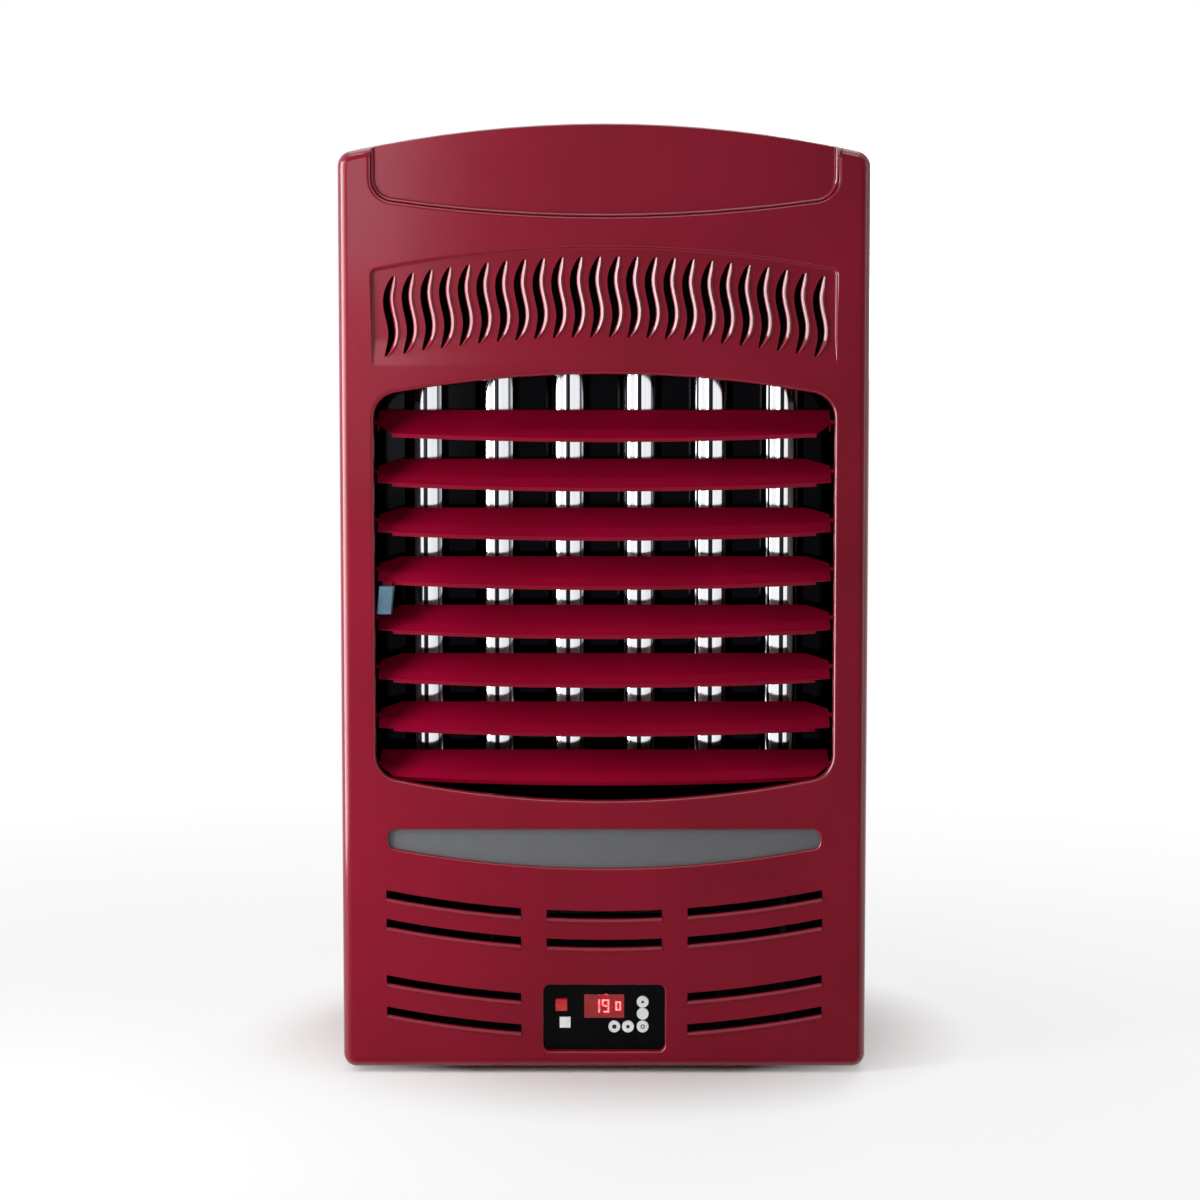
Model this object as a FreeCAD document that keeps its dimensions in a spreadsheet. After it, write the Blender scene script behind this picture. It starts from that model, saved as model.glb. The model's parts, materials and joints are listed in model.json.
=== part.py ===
import FreeCAD, Part
import math
import os
import Sketcher

# Gas heater: arched enamelled casing, eight coupled louvre slats in front of a fluted reflector,
# a flued combustion chamber over a tube burner, and a recessed electronic control panel.
# Z is up, the front faces -Y, and the origin is under the middle of the whole heater, on the floor.

SIZES = dict(
    # Casing
    body_wide=560.0,
    body_tall=1010.0,
    drawn_wide=560.0,
    drawn_tall=1010.0,
    casing_deep=380.0,
    flue_reach=40.0,
    foot_tall=6.0,
    sheet=1.0,
    arch_radius=1250.0,
    corner_round=16.0,
    shoulder_drop=32.0,
    base_corner_round=14.0,
    edge_round=12.0,
    panel_return=40.0,
    seam_gap=0.5,
    overrun=2.0,
    # Pressed recesses of the front panel
    field_inset=35.5,
    top_recess_z=913.0,
    top_recess_radius=1600.0,
    top_recess_corner=24.0,
    top_recess_deep=6.0,
    field_top_z=881.0,
    field_corner=6.0,
    field_floor_z=787.0,
    field_end_z=755.0,
    field_deep=5.0,
    # Wave-shaped air slots
    wave_count=24,
    wave_pitch=19.65,
    wave_top_z=871.0,
    wave_tall=84.0,
    wave_wide=9.5,
    wave_lean=4.0,
    wave_sway=4.5,
    # Louvre opening
    opening_inset=37.0,
    opening_top_z=748.0,
    opening_low_z=295.0,
    opening_low_radius=1100.0,
    opening_corner=27.0,
    flange_deep=8.0,
    rim_round=4.0,
    # Long window with the grey plate
    window_inset=50.0,
    window_top_z=264.0,
    window_low_z=222.0,
    window_low_radius=1200.0,
    window_corner=8.0,
    window_flange=5.0,
    plate_thick=1.5,
    plate_lap=8.0,
    clip_tall=12.0,
    clip_wide=16.0,
    # Curved air slots
    slot_tall=9.0,
    slot_radius=1200.0,
    slot_outer_x=232.5,
    slot_inner_x=89.0,
    slot_middle_x=61.5,
    slot_row_1_z=172.0,
    slot_row_2_z=141.0,
    slot_row_3_z=80.0,
    slot_row_4_z=46.0,
    # Control panel
    control_wide=130.0,
    control_top_z=96.0,
    control_low_z=24.0,
    control_corner=7.0,
    control_back=9.0,
    fascia_thick=3.0,
    fascia_lap=4.0,
    housing_deep=28.0,
    housing_wall=1.6,
    board_thick=1.6,
    board_back=18.0,
    board_wide=120.0,
    board_low_z=28.0,
    board_tall=64.0,
    post_radius=3.5,
    post_inset=6.0,
    switch_side=6.0,
    switch_tall=4.0,
    display_wide=43.0,
    display_tall=25.5,
    display_z=71.2,
    display_thick=1.2,
    digit_tall=14.0,
    digit_wide=7.6,
    digit_stroke=1.5,
    digit_gap=0.4,
    small_wide_share=0.75,
    small_tall_share=0.7,
    digit_thick=0.4,
    digit_1_x=-8.5,
    digit_2_x=1.5,
    digit_3_x=15.0,
    round_button_radius=6.3,
    button_proud=2.0,
    button_gap=0.25,
    button_travel=1.5,
    cap_thick=6.0,
    button_column_x=41.3,
    button_row_z=49.3,
    button_mid_z=63.2,
    button_high_z=76.2,
    button_left_x=10.9,
    button_next_x=25.5,
    stem_radius=2.0,
    square_button_side=11.6,
    square_button_x=-42.0,
    square_button_z=54.0,
    rocker_wide=12.5,
    rocker_radius=7.25,
    rocker_front_share=0.42,
    rocker_back_share=0.45,
    rocker_x=-46.0,
    rocker_z=73.0,
    rocker_angle=9.0,
    rocker_gap=0.3,
    rocker_pin_radius=1.2,
    frame_wall=1.3,
    frame_lip=1.0,
    frame_deep=16.0,
    # Louvre slats
    slat_count=8,
    slat_pitch=52.3,
    slat_top_z=697.0,
    slat_gap=2.0,
    slat_chord=41.0,
    slat_front_bow=10.0,
    slat_cut_wide=24.0,
    slat_cut_deep=12.0,
    slat_thick=1.2,
    slat_lip=4.0,
    slat_tilt=35.0,
    slat_corner=16.0,
    slat_ear=7.0,
    slat_ear_long=16.0,
    pivot_back=34.0,
    pin_radius=2.5,
    pin_play=0.05,
    bracket_gap=0.5,
    bracket_thick=1.5,
    bracket_deep=24.0,
    bracket_foot=16.0,
    bracket_end=20.0,
    crank_reach=17.0,
    crank_gap=3.0,
    crank_thick=2.0,
    crank_pin_radius=2.0,
    end_arc_ratio=1.1,
    tie_gap=0.5,
    tie_thick=2.0,
    tie_wide=9.0,
    tie_play=0.3,
    # Grip of the louvres
    tongue_wide=10.0,
    tongue_long=12.0,
    grip_inset=12.0,
    grip_wide=16.0,
    grip_tall=30.0,
    grip_front=11.0,
    grip_rear=3.0,
    grip_lean=3.0,
    grip_round=1.5,
    grip_play=0.3,
    # Reflector
    reflector_back=96.0,
    reflector_lap=7.0,
    reflector_low_z=268.0,
    reflector_tall=500.0,
    reflector_thick=0.8,
    flute_pitch=77.2,
    flute_half=24.0,
    flute_count=6,
    reflector_wing=46.0,
    # Combustion chamber, flue and burner
    chamber_wide=400.0,
    chamber_deep=150.0,
    chamber_low_z=250.0,
    chamber_tall=480.0,
    chamber_wall=2.0,
    chamber_round=30.0,
    chamber_gap=6.0,
    pipe_play=0.3,
    flue_radius=76.5,
    flue_wall=1.2,
    flue_drop=90.0,
    flue_lap=14.0,
    flue_flange=18.0,
    burner_radius=16.0,
    burner_wall=1.5,
    burner_z=205.0,
    burner_length=320.0,
    port_wide=3.0,
    port_long=14.0,
    port_count=14,
    port_span_share=0.86,
    stand_place_share=0.8,
    cradle_share=0.3,
    stand_wide=44.0,
    leg_thick=2.0,
    leg_wide=30.0,
    leg_foot=12.0,
    leg_lap=40.0,
    strap_tall=20.0,
    injector_radius=8.0,
    injector_long=12.0,
    injector_gap=3.0,
    shelf_wide=120.0,
    shelf_deep=16.0,
    probe_x=45.0,
    rod_radius=1.5,
    rod_drop=6.0,
    electrode_long=52.0,
    sensor_long=60.0,
    ceramic_radius=4.0,
    ceramic_long=26.0,
    # Gas train
    pipe_radius=6.0,
    inlet_radius=10.5,
    inlet_long=36.0,
    valve_x=240.0,
    valve_wide=52.0,
    valve_deep=56.0,
    valve_tall=44.0,
    valve_round=5.0,
    boss_long=5.0,
    coil_radius=12.0,
    coil_tall=30.0,
    coil_pitch=27.0,
    core_radius=6.0,
    core_tall=5.0,
    # Base, back and feet
    tray_lip=26.0,
    tray_wall=1.5,
    tray_corner=3.0,
    tray_vent_wide=60.0,
    tray_vent_deep=8.0,
    tray_vent_pitch=60.0,
    foot_radius=14.0,
    foot_taper_share=0.8,
    foot_inset=42.0,
    back_vent_wide=90.0,
    back_vent_tall=6.0,
    back_vent_round=2.4,
    back_vent_pitch=16.0,
    back_vent_rows=5,
    gland_radius=8.0,
    gland_wire_radius=3.6,
    gland_lip=2.5,
    gland_x=-200.0,
    gland_z=70.0,
)


# Sizes that keep their share of the casing when it is made taller or wider than it was drawn
TALL_SIZES = ("top_recess_z", "field_top_z", "field_floor_z", "field_end_z", "wave_top_z", "wave_tall",
              "opening_top_z", "opening_low_z", "window_top_z", "window_low_z", "window_corner",
              "slot_row_1_z", "slot_row_2_z", "slat_top_z", "slat_pitch", "reflector_low_z",
              "reflector_tall", "chamber_low_z", "chamber_tall", "burner_z")
WIDE_SIZES = ("wave_pitch", "slot_outer_x", "slot_inner_x", "slot_middle_x", "flute_pitch", "chamber_wide",
              "burner_length", "valve_x", "gland_x")
ARC_SIZES = ("arch_radius", "top_recess_radius", "opening_low_radius", "window_low_radius", "slot_radius")


class Dim:
    """A length with its value now and the sheet expression that keeps it bound."""

    def __init__(self, value, text):
        self.value = float(value)
        self.text = text

    def __add__(self, other):
        other = dim(other)
        return Dim(self.value + other.value, "(%s + %s)" % (self.text, other.text))

    def __sub__(self, other):
        other = dim(other)
        return Dim(self.value - other.value, "(%s - %s)" % (self.text, other.text))

    def __mul__(self, other):
        other = dim(other)
        return Dim(self.value * other.value, "(%s * %s)" % (self.text, other.text))

    def __truediv__(self, other):
        other = dim(other)
        return Dim(self.value / other.value, "(%s / %s)" % (self.text, other.text))

    def __neg__(self):
        return Dim(-self.value, "(0 - %s)" % self.text)

    def __radd__(self, other):
        return dim(other) + self

    def __rsub__(self, other):
        return dim(other) - self

    def __rmul__(self, other):
        return dim(other) * self


def dim(number):
    """A plain number as a Dim, and a Dim as it is."""
    if isinstance(number, Dim):
        return number
    return Dim(number, repr(float(number)))


def root(area):
    """The square root of a Dim."""
    return Dim(math.sqrt(area.value), "sqrt(%s)" % area.text)


def sine(angle):
    """The sine of a Dim in degrees."""
    return Dim(math.sin(math.radians(angle.value)), "sin(%s)" % angle.text)


def cosine(angle):
    """The cosine of a Dim in degrees."""
    return Dim(math.cos(math.radians(angle.value)), "cos(%s)" % angle.text)


class Sheet:
    """Every driving size by its name, as a Dim bound to its cell."""

    def __init__(self, document, sizes):
        cells = document.addObject("Spreadsheet::Sheet", "Sizes")
        for row, (name, value) in enumerate(sizes.items(), start=1):
            cells.set("A%d" % row, name)
            cells.set("B%d" % row, str(value))
            cells.setAlias("B%d" % row, name)
            setattr(self, name, Dim(value, "Sizes." + name))
        taller = self.body_tall / self.drawn_tall
        wider = self.body_wide / self.drawn_wide
        for names, share in ((TALL_SIZES, taller), (WIDE_SIZES, wider), (ARC_SIZES, wider * wider / taller)):
            for name in names:
                setattr(self, name, getattr(self, name) * share)


doc = FreeCAD.newDocument("GasHeater")
S = Sheet(doc, SIZES)
doc.recompute()

ZERO = dim(0)
Vector = FreeCAD.Vector
KEPT = []
POCKETS = []

# Planes and places that several pieces share
FACE = -(S.casing_deep + S.flue_reach) / 2
BACK = FACE + S.casing_deep
SHELL_BACK = FACE + S.panel_return
INNER_BACK = BACK - S.sheet
REAR_Y = INNER_BACK - S.sheet - S.seam_gap
HALF = S.body_wide / 2
FLOOR_Z = S.foot_tall
TRAY_TOP = FLOOR_Z + S.sheet + S.seam_gap + S.tray_wall
SHOULDER_Z = S.body_tall - S.arch_radius + root(S.arch_radius * S.arch_radius - HALF * HALF) - S.shoulder_drop

FIELD_WIDE = S.body_wide - S.field_inset * 2
OPENING_WIDE = S.body_wide - S.opening_inset * 2
WINDOW_WIDE = S.body_wide - S.window_inset * 2

SLAT_COUNT = SIZES["slat_count"]
GRIP_SLAT = 3
PIVOT_Y = FACE + S.pivot_back
SLAT_END = OPENING_WIDE / 2 - S.slat_gap
BRACKET_X = OPENING_WIDE / 2 + S.rim_round + S.bracket_gap
CRANK_X = BRACKET_X + S.bracket_thick + S.crank_gap
GRIP_X = S.grip_inset - OPENING_WIDE / 2
TONGUE_BACK = S.slat_chord / 2 - S.slat_thick

REFLECTOR_Y = FACE + S.reflector_back
REFLECTOR_WIDE = OPENING_WIDE + S.reflector_lap * 2
CHAMBER_Y = REFLECTOR_Y + S.reflector_thick + S.chamber_gap
CHAMBER_BACK = CHAMBER_Y + S.chamber_deep
FLUE_Z = S.chamber_low_z + S.chamber_tall - S.flue_drop
FLUE_START = REAR_Y - S.flue_lap * 2

BURNER_Y = CHAMBER_Y + S.chamber_deep / 2
BURNER_LOW_X = -S.burner_length / 2
BURNER_HIGH_X = S.burner_length / 2
INJECTOR_X = BURNER_HIGH_X + S.injector_gap
VALVE_FRONT = BURNER_Y - S.valve_deep / 2
VALVE_REAR = BURNER_Y + S.valve_deep / 2
VALVE_LEFT = S.valve_x - S.valve_wide / 2
VALVE_LOW = S.burner_z - S.valve_tall / 2

PLATE_Y = FACE + S.window_flange + S.sheet
CONTROL_Y = FACE + S.control_back + S.sheet
FASCIA_BACK = CONTROL_Y + S.fascia_thick
BOARD_Y = FASCIA_BACK + S.board_back
SWITCH_TOP = BOARD_Y - S.switch_tall
STEM_END = SWITCH_TOP - S.button_travel - S.button_gap
ROCKER_Y = CONTROL_Y + S.fascia_thick / 2
FRAME_HALF_X = S.rocker_wide / 2 + S.rocker_gap + S.frame_wall
FRAME_HALF_Z = S.rocker_radius + S.rocker_gap + S.frame_wall
ROUND_BUTTONS = (
    (S.button_column_x, S.button_high_z),
    (S.button_column_x, S.button_mid_z),
    (S.button_column_x, S.button_row_z),
    (S.button_next_x, S.button_row_z),
    (S.button_left_x, S.button_row_z),
)


def keep(piece, name):
    """Give a finished sub-part its Label and list it for the export."""
    piece.Label = name
    KEPT.append(piece)
    return piece


def bind(thing, **dims):
    """Bind properties of an object to the sheet."""
    for name, size in dims.items():
        thing.setExpression(name, dim(size).text)
    return thing


def place(piece, x=ZERO, y=ZERO, z=ZERO, axis=None, angle=None):
    """Bind an object's Placement, turned about an axis where one is given."""
    if axis is not None:
        turn = dim(angle)
        piece.Placement = FreeCAD.Placement(Vector(), FreeCAD.Rotation(Vector(*axis), turn.value))
        piece.setExpression("Placement.Rotation.Angle", turn.text)
    for name, size in (("x", x), ("y", y), ("z", z)):
        piece.setExpression("Placement.Base." + name, dim(size).text)
    return piece


def new_body(name):
    """An empty PartDesign body."""
    return doc.addObject("PartDesign::Body", name)


def new_sketch(body, plane, offset=None):
    """A sketch on one of the body's own planes, moved along world X, Y or Z by offset."""
    sketch = body.newObject("Sketcher::SketchObject", "Outline")
    base = [item for item in body.Origin.OriginFeatures if item.Role == plane + "_Plane"][0]
    sketch.AttachmentSupport = [(base, "")]
    sketch.MapMode = "FlatFace"
    if offset is not None:
        shift = -offset if plane == "XZ" else offset
        sketch.setExpression("AttachmentOffset.Base.z", shift.text)
    return sketch


def draw_loop(sketch, corners):
    """Draw one closed outline.

    corners lists (x, y) or (x, y, radius): a radius bends the edge that leaves that corner into an
    arc, to the left of the way of travel when it is positive and to the right when it is negative.
    Each corner is bound by its two distances from the origin, and each arc by its radius.
    """
    count = len(corners)
    ends = []
    first = sketch.GeometryCount
    for index, corner in enumerate(corners):
        follow = corners[(index + 1) % count]
        start = Vector(dim(corner[0]).value, dim(corner[1]).value, 0)
        end = Vector(dim(follow[0]).value, dim(follow[1]).value, 0)
        if len(corner) < 3:
            sketch.addGeometry(Part.LineSegment(start, end), False)
            ends.append((1, 2))
            continue
        radius = abs(corner[2].value)
        chord = end - start
        rise = math.sqrt(max(radius ** 2 - (chord.Length / 2) ** 2, 0))
        side = Vector(-chord.y, chord.x, 0).normalize()
        bends_left = corner[2].value > 0
        centre = (start + end) / 2 + side * (rise if bends_left else -rise)
        circle = Part.Circle(centre, Vector(0, 0, 1), radius)
        low = math.atan2(start.y - centre.y, start.x - centre.x)
        high = math.atan2(end.y - centre.y, end.x - centre.x)
        if not bends_left:
            low, high = high, low
        if high <= low:
            high += 2 * math.pi
        sketch.addGeometry(Part.ArcOfCircle(circle, low, high), False)
        ends.append((1, 2) if bends_left else (2, 1))
    rules = []
    for index, corner in enumerate(corners):
        edge = first + index
        follow = (index + 1) % count
        rules.append((Sketcher.Constraint("Coincident", edge, ends[index][1], first + follow,
                                          ends[follow][0]), None))
        for kind, size in (("DistanceX", dim(corner[0])), ("DistanceY", dim(corner[1]))):
            rules.append((Sketcher.Constraint(kind, -1, 1, edge, ends[index][0], size.value), size))
        if len(corner) == 3:
            size = corner[2] if corner[2].value > 0 else -corner[2]
            rules.append((Sketcher.Constraint("Radius", edge, size.value), size))
    bind_rules(sketch, rules)


def bind_rules(sketch, rules):
    """Add constraints to a sketch, each bound to its size where it has one."""
    made = sketch.addConstraint([rule for rule, size in rules])
    for number, (rule, size) in zip(made, rules):
        if size is not None:
            sketch.setExpression("Constraints[%d]" % number, size.text)


def draw_circle(sketch, x, y, radius):
    """Draw one circle bound by its centre and radius."""
    x, y, radius = dim(x), dim(y), dim(radius)
    circle = Part.Circle(Vector(x.value, y.value, 0), Vector(0, 0, 1), radius.value)
    made = sketch.addGeometry(circle, False)
    bind_rules(sketch, [
        (Sketcher.Constraint("DistanceX", -1, 1, made, 3, x.value), x),
        (Sketcher.Constraint("DistanceY", -1, 1, made, 3, y.value), y),
        (Sketcher.Constraint("Radius", made, radius.value), radius),
    ])


def rectangle(low_x, high_x, low_y, high_y):
    """The corners of a rectangle, anticlockwise."""
    return [(low_x, low_y), (high_x, low_y), (high_x, high_y), (low_x, high_y)]


def rounded(low_x, high_x, low_y, high_y, radius):
    """The corners of a rectangle with round corners, anticlockwise."""
    return [
        (low_x + radius, low_y), (high_x - radius, low_y, radius),
        (high_x, low_y + radius), (high_x, high_y - radius, radius),
        (high_x - radius, high_y), (low_x + radius, high_y, radius),
        (low_x, high_y - radius), (low_x, low_y + radius, radius),
    ]


def arch_corner(half, crest, arch, corner):
    """Where a round corner meets an upright side and an arch: the two points of contact."""
    reach = half - corner
    rise = root((arch - corner) * (arch - corner) - reach * reach)
    stretch = arch / (arch - corner)
    on_side = crest - arch + rise
    on_arch = (reach * stretch, crest - arch + rise * stretch)
    return on_side, on_arch


def arched(half, crest, arch, corner, low, low_corner):
    """An outline with an arched top and a straight foot, anticlockwise from the foot."""
    side_z, (arch_x, arch_z) = arch_corner(half, crest, arch, corner)
    return [
        (low_corner - half, low), (half - low_corner, low, low_corner),
        (half, low + low_corner), (half, side_z, corner),
        (arch_x, arch_z, arch), (-arch_x, arch_z, corner),
        (-half, side_z), (-half, low + low_corner, low_corner),
    ]


def barrel(half, crest, arch, low, low_arch, corner):
    """An outline whose top and foot both bulge outwards, anticlockwise from the foot."""
    side_z, (arch_x, arch_z) = arch_corner(half, crest, arch, corner)
    foot_z, (foot_x, drop) = arch_corner(half, -low, low_arch, corner)
    return [
        (-foot_x, -drop, low_arch), (foot_x, -drop, corner),
        (half, -foot_z), (half, side_z, corner),
        (arch_x, arch_z, arch), (-arch_x, arch_z, corner),
        (-half, side_z), (-half, -foot_z, corner),
    ]


def pad(body, plane, loops, start, length, both_ways=False):
    """Pad outlines from a plane at start, towards plus along its axis."""
    sketch = new_sketch(body, plane, start)
    for loop in loops:
        if isinstance(loop, tuple):
            draw_circle(sketch, *loop)
        else:
            draw_loop(sketch, loop)
    made = body.newObject("PartDesign::Pad", "Pad")
    made.Profile = sketch
    made.Midplane = both_ways
    made.Reversed = plane == "XZ" and not both_ways
    bind(made, Length=length)
    return made


def pocket(body, plane, loops, start, length, both_ways=False):
    """Cut outlines into a body from a plane at start, towards plus along its axis."""
    sketch = new_sketch(body, plane, start)
    for loop in loops:
        if isinstance(loop, tuple):
            draw_circle(sketch, *loop)
        else:
            draw_loop(sketch, loop)
    made = body.newObject("PartDesign::Pocket", "Pocket")
    made.Profile = sketch
    made.Midplane = both_ways
    made.Reversed = plane != "XZ" and not both_ways
    bind(made, Length=length)
    POCKETS.append(made)
    return made


def solid(name, plane, loops, start, length, both_ways=False):
    """A body of one pad."""
    body = new_body(name)
    pad(body, plane, loops, start, length, both_ways)
    return body


def round_edges(body, radius, chosen):
    """Fillet the edges of a body that a test picks."""
    doc.recompute()
    tip = body.Tip
    names = ["Edge%d" % (i + 1) for i, edge in enumerate(body.Shape.Edges) if chosen(edge)]
    made = body.newObject("PartDesign::Fillet", "Fillet")
    made.Base = (tip, names)
    bind(made, Radius=radius)
    return made


def in_plane(edge, axis, level):
    """Whether an edge lies in the plane where one coordinate has one value."""
    box = edge.BoundBox
    low, high = {"x": (box.XMin, box.XMax), "y": (box.YMin, box.YMax), "z": (box.ZMin, box.ZMax)}[axis]
    near = S.sheet.value / 100
    return abs(low - level.value) < near and abs(high - level.value) < near


def cylinder(name, radius, height, x=ZERO, y=ZERO, z=ZERO, axis=None, angle=None):
    """A cylinder that stands on Z before it is turned."""
    made = bind(doc.addObject("Part::Cylinder", name), Radius=radius, Height=height)
    return place(made, x, y, z, axis, angle)


def along_x(name, radius, length, x, y, z):
    """A cylinder from a point towards +X."""
    return cylinder(name, radius, length, x, y, z, (0, 1, 0), 90)


def along_y(name, radius, length, x, y, z):
    """A cylinder from a point towards +Y."""
    return cylinder(name, radius, length, x, y, z, (1, 0, 0), -90)


def cut(name, base, tools):
    """Base less every tool."""
    tool = tools[0] if len(tools) == 1 else fuse(name + "_tools", tools)
    made = doc.addObject("Part::Cut", name)
    made.Base = base
    made.Tool = tool
    return made


def fuse(name, pieces):
    """Pieces joined into one solid."""
    made = doc.addObject("Part::MultiFuse", name)
    made.Shapes = pieces
    return made


def group(name, pieces):
    """Separate solids kept together."""
    made = doc.addObject("Part::Compound", name)
    made.Links = pieces
    return made


# Front panel

def opening_outline(grow):
    """The louvre opening, grown all round."""
    return barrel(OPENING_WIDE / 2 + grow, S.opening_top_z + grow, S.arch_radius + grow,
                  S.opening_low_z - grow, S.opening_low_radius + grow, S.opening_corner + grow)


def window_outline(grow):
    """The long window: straight on top, curved below, with round ends."""
    half = WINDOW_WIDE / 2 + grow
    corner = S.window_corner + grow
    top = S.window_top_z + grow
    foot_z, (foot_x, drop) = arch_corner(half, grow - S.window_low_z, S.window_low_radius + grow, corner)
    return [
        (-foot_x, -drop, S.window_low_radius + grow), (foot_x, -drop, corner),
        (half, -foot_z), (half, top - corner, corner),
        (half - corner, top), (corner - half, top, corner),
        (-half, top - corner), (-half, -foot_z, corner),
    ]


def control_outline(grow):
    """The cut-out of the control panel."""
    half = S.control_wide / 2 + grow
    return rounded(-half, half, S.control_low_z - grow, S.control_top_z + grow, S.control_corner + grow)


def top_recess_outline(grow):
    """The sunk top field, which runs out over the top edge."""
    half = FIELD_WIDE / 2 + grow
    corner = S.top_recess_corner + grow
    arch = S.top_recess_radius + grow
    foot_z, (foot_x, drop) = arch_corner(half, grow - S.top_recess_z, arch, corner)
    over = S.body_tall + S.overrun
    return [
        (-foot_x, -drop, arch), (foot_x, -drop, corner),
        (half, -foot_z), (half, over), (-half, over), (-half, -foot_z, corner),
    ]


def wave_field_outline(grow):
    """The sunk field of the wave-shaped slots, down to where its floor starts to rise."""
    half = FIELD_WIDE / 2 + grow
    side_z, (arch_x, arch_z) = arch_corner(half, S.field_top_z + grow, S.arch_radius + grow,
                                           S.field_corner + grow)
    return [
        (-half, S.field_floor_z), (half, S.field_floor_z), (half, side_z, S.field_corner + grow),
        (arch_x, arch_z, S.arch_radius + grow), (-arch_x, arch_z, S.field_corner + grow),
        (-half, side_z),
    ]


def pressed_block(name, inset):
    """The front panel as a block whose front has every pressing, inset all round by a wall."""
    front = FACE + inset
    body = new_body(name)
    blank = arched(HALF - inset, S.body_tall - inset, S.arch_radius - inset, S.corner_round - inset,
                   FLOOR_Z + inset, S.base_corner_round - inset)
    pad(body, "XZ", [blank], front, S.panel_return)
    round_edges(body, S.edge_round - inset, lambda edge: in_plane(edge, "y", front))
    pocket(body, "XZ", [top_recess_outline(inset)], front, S.top_recess_deep)
    pocket(body, "XZ", [wave_field_outline(inset)], front, S.field_deep)
    ramp = [(front, S.field_end_z - inset), (front + S.field_deep, S.field_floor_z), (front, S.field_floor_z)]
    pocket(body, "YZ", [ramp], ZERO, FIELD_WIDE + inset * 2, both_ways=True)
    pocket(body, "XZ", [opening_outline(inset)], front, S.flange_deep)
    limit = OPENING_WIDE.value / 2 + S.overrun.value
    crest = S.opening_top_z.value + S.overrun.value

    def on_rim(edge):
        box = edge.BoundBox
        return in_plane(edge, "y", front) and abs(box.XMin) < limit and abs(box.XMax) < limit \
            and box.ZMax < crest

    round_edges(body, S.rim_round - inset, on_rim)
    pocket(body, "XZ", [window_outline(inset)], front, S.window_flange)
    pocket(body, "XZ", [control_outline(inset)], front, S.control_back)
    return body


def curved_slot(row_z, low_x, high_x):
    """One long slot between two concentric arcs that rise towards the sides."""
    outer = S.slot_radius + S.slot_tall / 2
    inner = S.slot_radius - S.slot_tall / 2
    centre = row_z + S.slot_radius

    def level(x, radius):
        return centre - root(radius * radius - x * x)

    return [(low_x, level(low_x, outer), outer), (high_x, level(high_x, outer)),
            (high_x, level(high_x, inner), -inner), (low_x, level(low_x, inner))]


def air_slots():
    """The four rows of curved slots: the upper two have a middle slot, the lower two have none."""
    loops = []
    for row_z in (S.slot_row_1_z, S.slot_row_2_z, S.slot_row_3_z, S.slot_row_4_z):
        loops.append(curved_slot(row_z, -S.slot_outer_x, -S.slot_inner_x))
        loops.append(curved_slot(row_z, S.slot_inner_x, S.slot_outer_x))
    for row_z in (S.slot_row_1_z, S.slot_row_2_z):
        loops.append(curved_slot(row_z, -S.slot_middle_x, S.slot_middle_x))
    return solid("AirSlots", "XZ", loops, FACE - S.overrun, S.field_deep + S.overrun * 2)


def wave_slots():
    """The wave-shaped slots, which climb along the arch without turning."""
    rise_shares = (0.0, 0.1, 0.25, 0.4, 0.5, 0.6, 0.75, 0.9, 1.0)
    tip_share = 0.3
    start = FACE.value - S.overrun.value
    depth = S.field_deep.value + S.sheet.value + S.overrun.value * 2
    cutters = []
    for index in range(SIZES["wave_count"]):
        x = (index - (SIZES["wave_count"] - 1) / 2) * S.wave_pitch.value
        arch = S.arch_radius.value
        top = S.wave_top_z.value - arch + math.sqrt(arch ** 2 - x ** 2)
        sides = ([], [])
        for share in rise_shares:
            middle = x + S.wave_lean.value * (2 * share - 1)
            middle = middle + S.wave_sway.value * math.sin(2 * math.pi * share)
            swell = tip_share + (1 - tip_share) * math.sqrt(math.sin(math.pi * share))
            half = S.wave_wide.value / 2 * swell
            z = top - S.wave_tall.value * (1 - share)
            sides[0].append(Vector(middle - half, start, z))
            sides[1].append(Vector(middle + half, start, z))
        curves = []
        for points in sides:
            curve = Part.BSplineCurve()
            curve.interpolate(points)
            curves.append(curve.toShape())
        foot = Part.LineSegment(sides[0][0], sides[1][0]).toShape()
        tip = Part.LineSegment(sides[0][-1], sides[1][-1]).toShape()
        outline = Part.Wire([foot, curves[1], tip, curves[0]])
        cutters.append(Part.Face(outline).extrude(Vector(0, depth, 0)))
    made = doc.addObject("Part::Feature", "WaveSlots")
    made.Shape = Part.makeCompound(cutters)
    return made


def front_panel():
    """One pressed steel sheet: sunk fields, flanged openings and rows of air slots."""
    shell = cut("PanelShell", pressed_block("PanelOuter", ZERO), [pressed_block("PanelInner", S.sheet)])
    through = solid("PanelHoles", "XZ", [opening_outline(ZERO), window_outline(ZERO), control_outline(ZERO)],
                    FACE, S.panel_return)
    return keep(cut("FrontPanel", shell, [through, air_slots(), wave_slots()]), "front_panel")


# Casing: side panels, top cover, back panel and base tray

def side_panel(side, name):
    """A channel of sheet steel: a wide web with a flange at the front and one at the back."""
    outer = HALF * side
    inner = (HALF - S.sheet) * side
    lip = (HALF - S.panel_return / 2) * side
    front = SHELL_BACK + S.seam_gap
    outline = [
        (outer, front), (outer, BACK), (lip, BACK), (lip, INNER_BACK), (inner, INNER_BACK),
        (inner, front + S.sheet), (lip, front + S.sheet), (lip, front),
    ]
    height = SHOULDER_Z - FLOOR_Z - S.seam_gap
    return keep(solid(name, "XY", [outline], FLOOR_Z, height), name)


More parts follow.
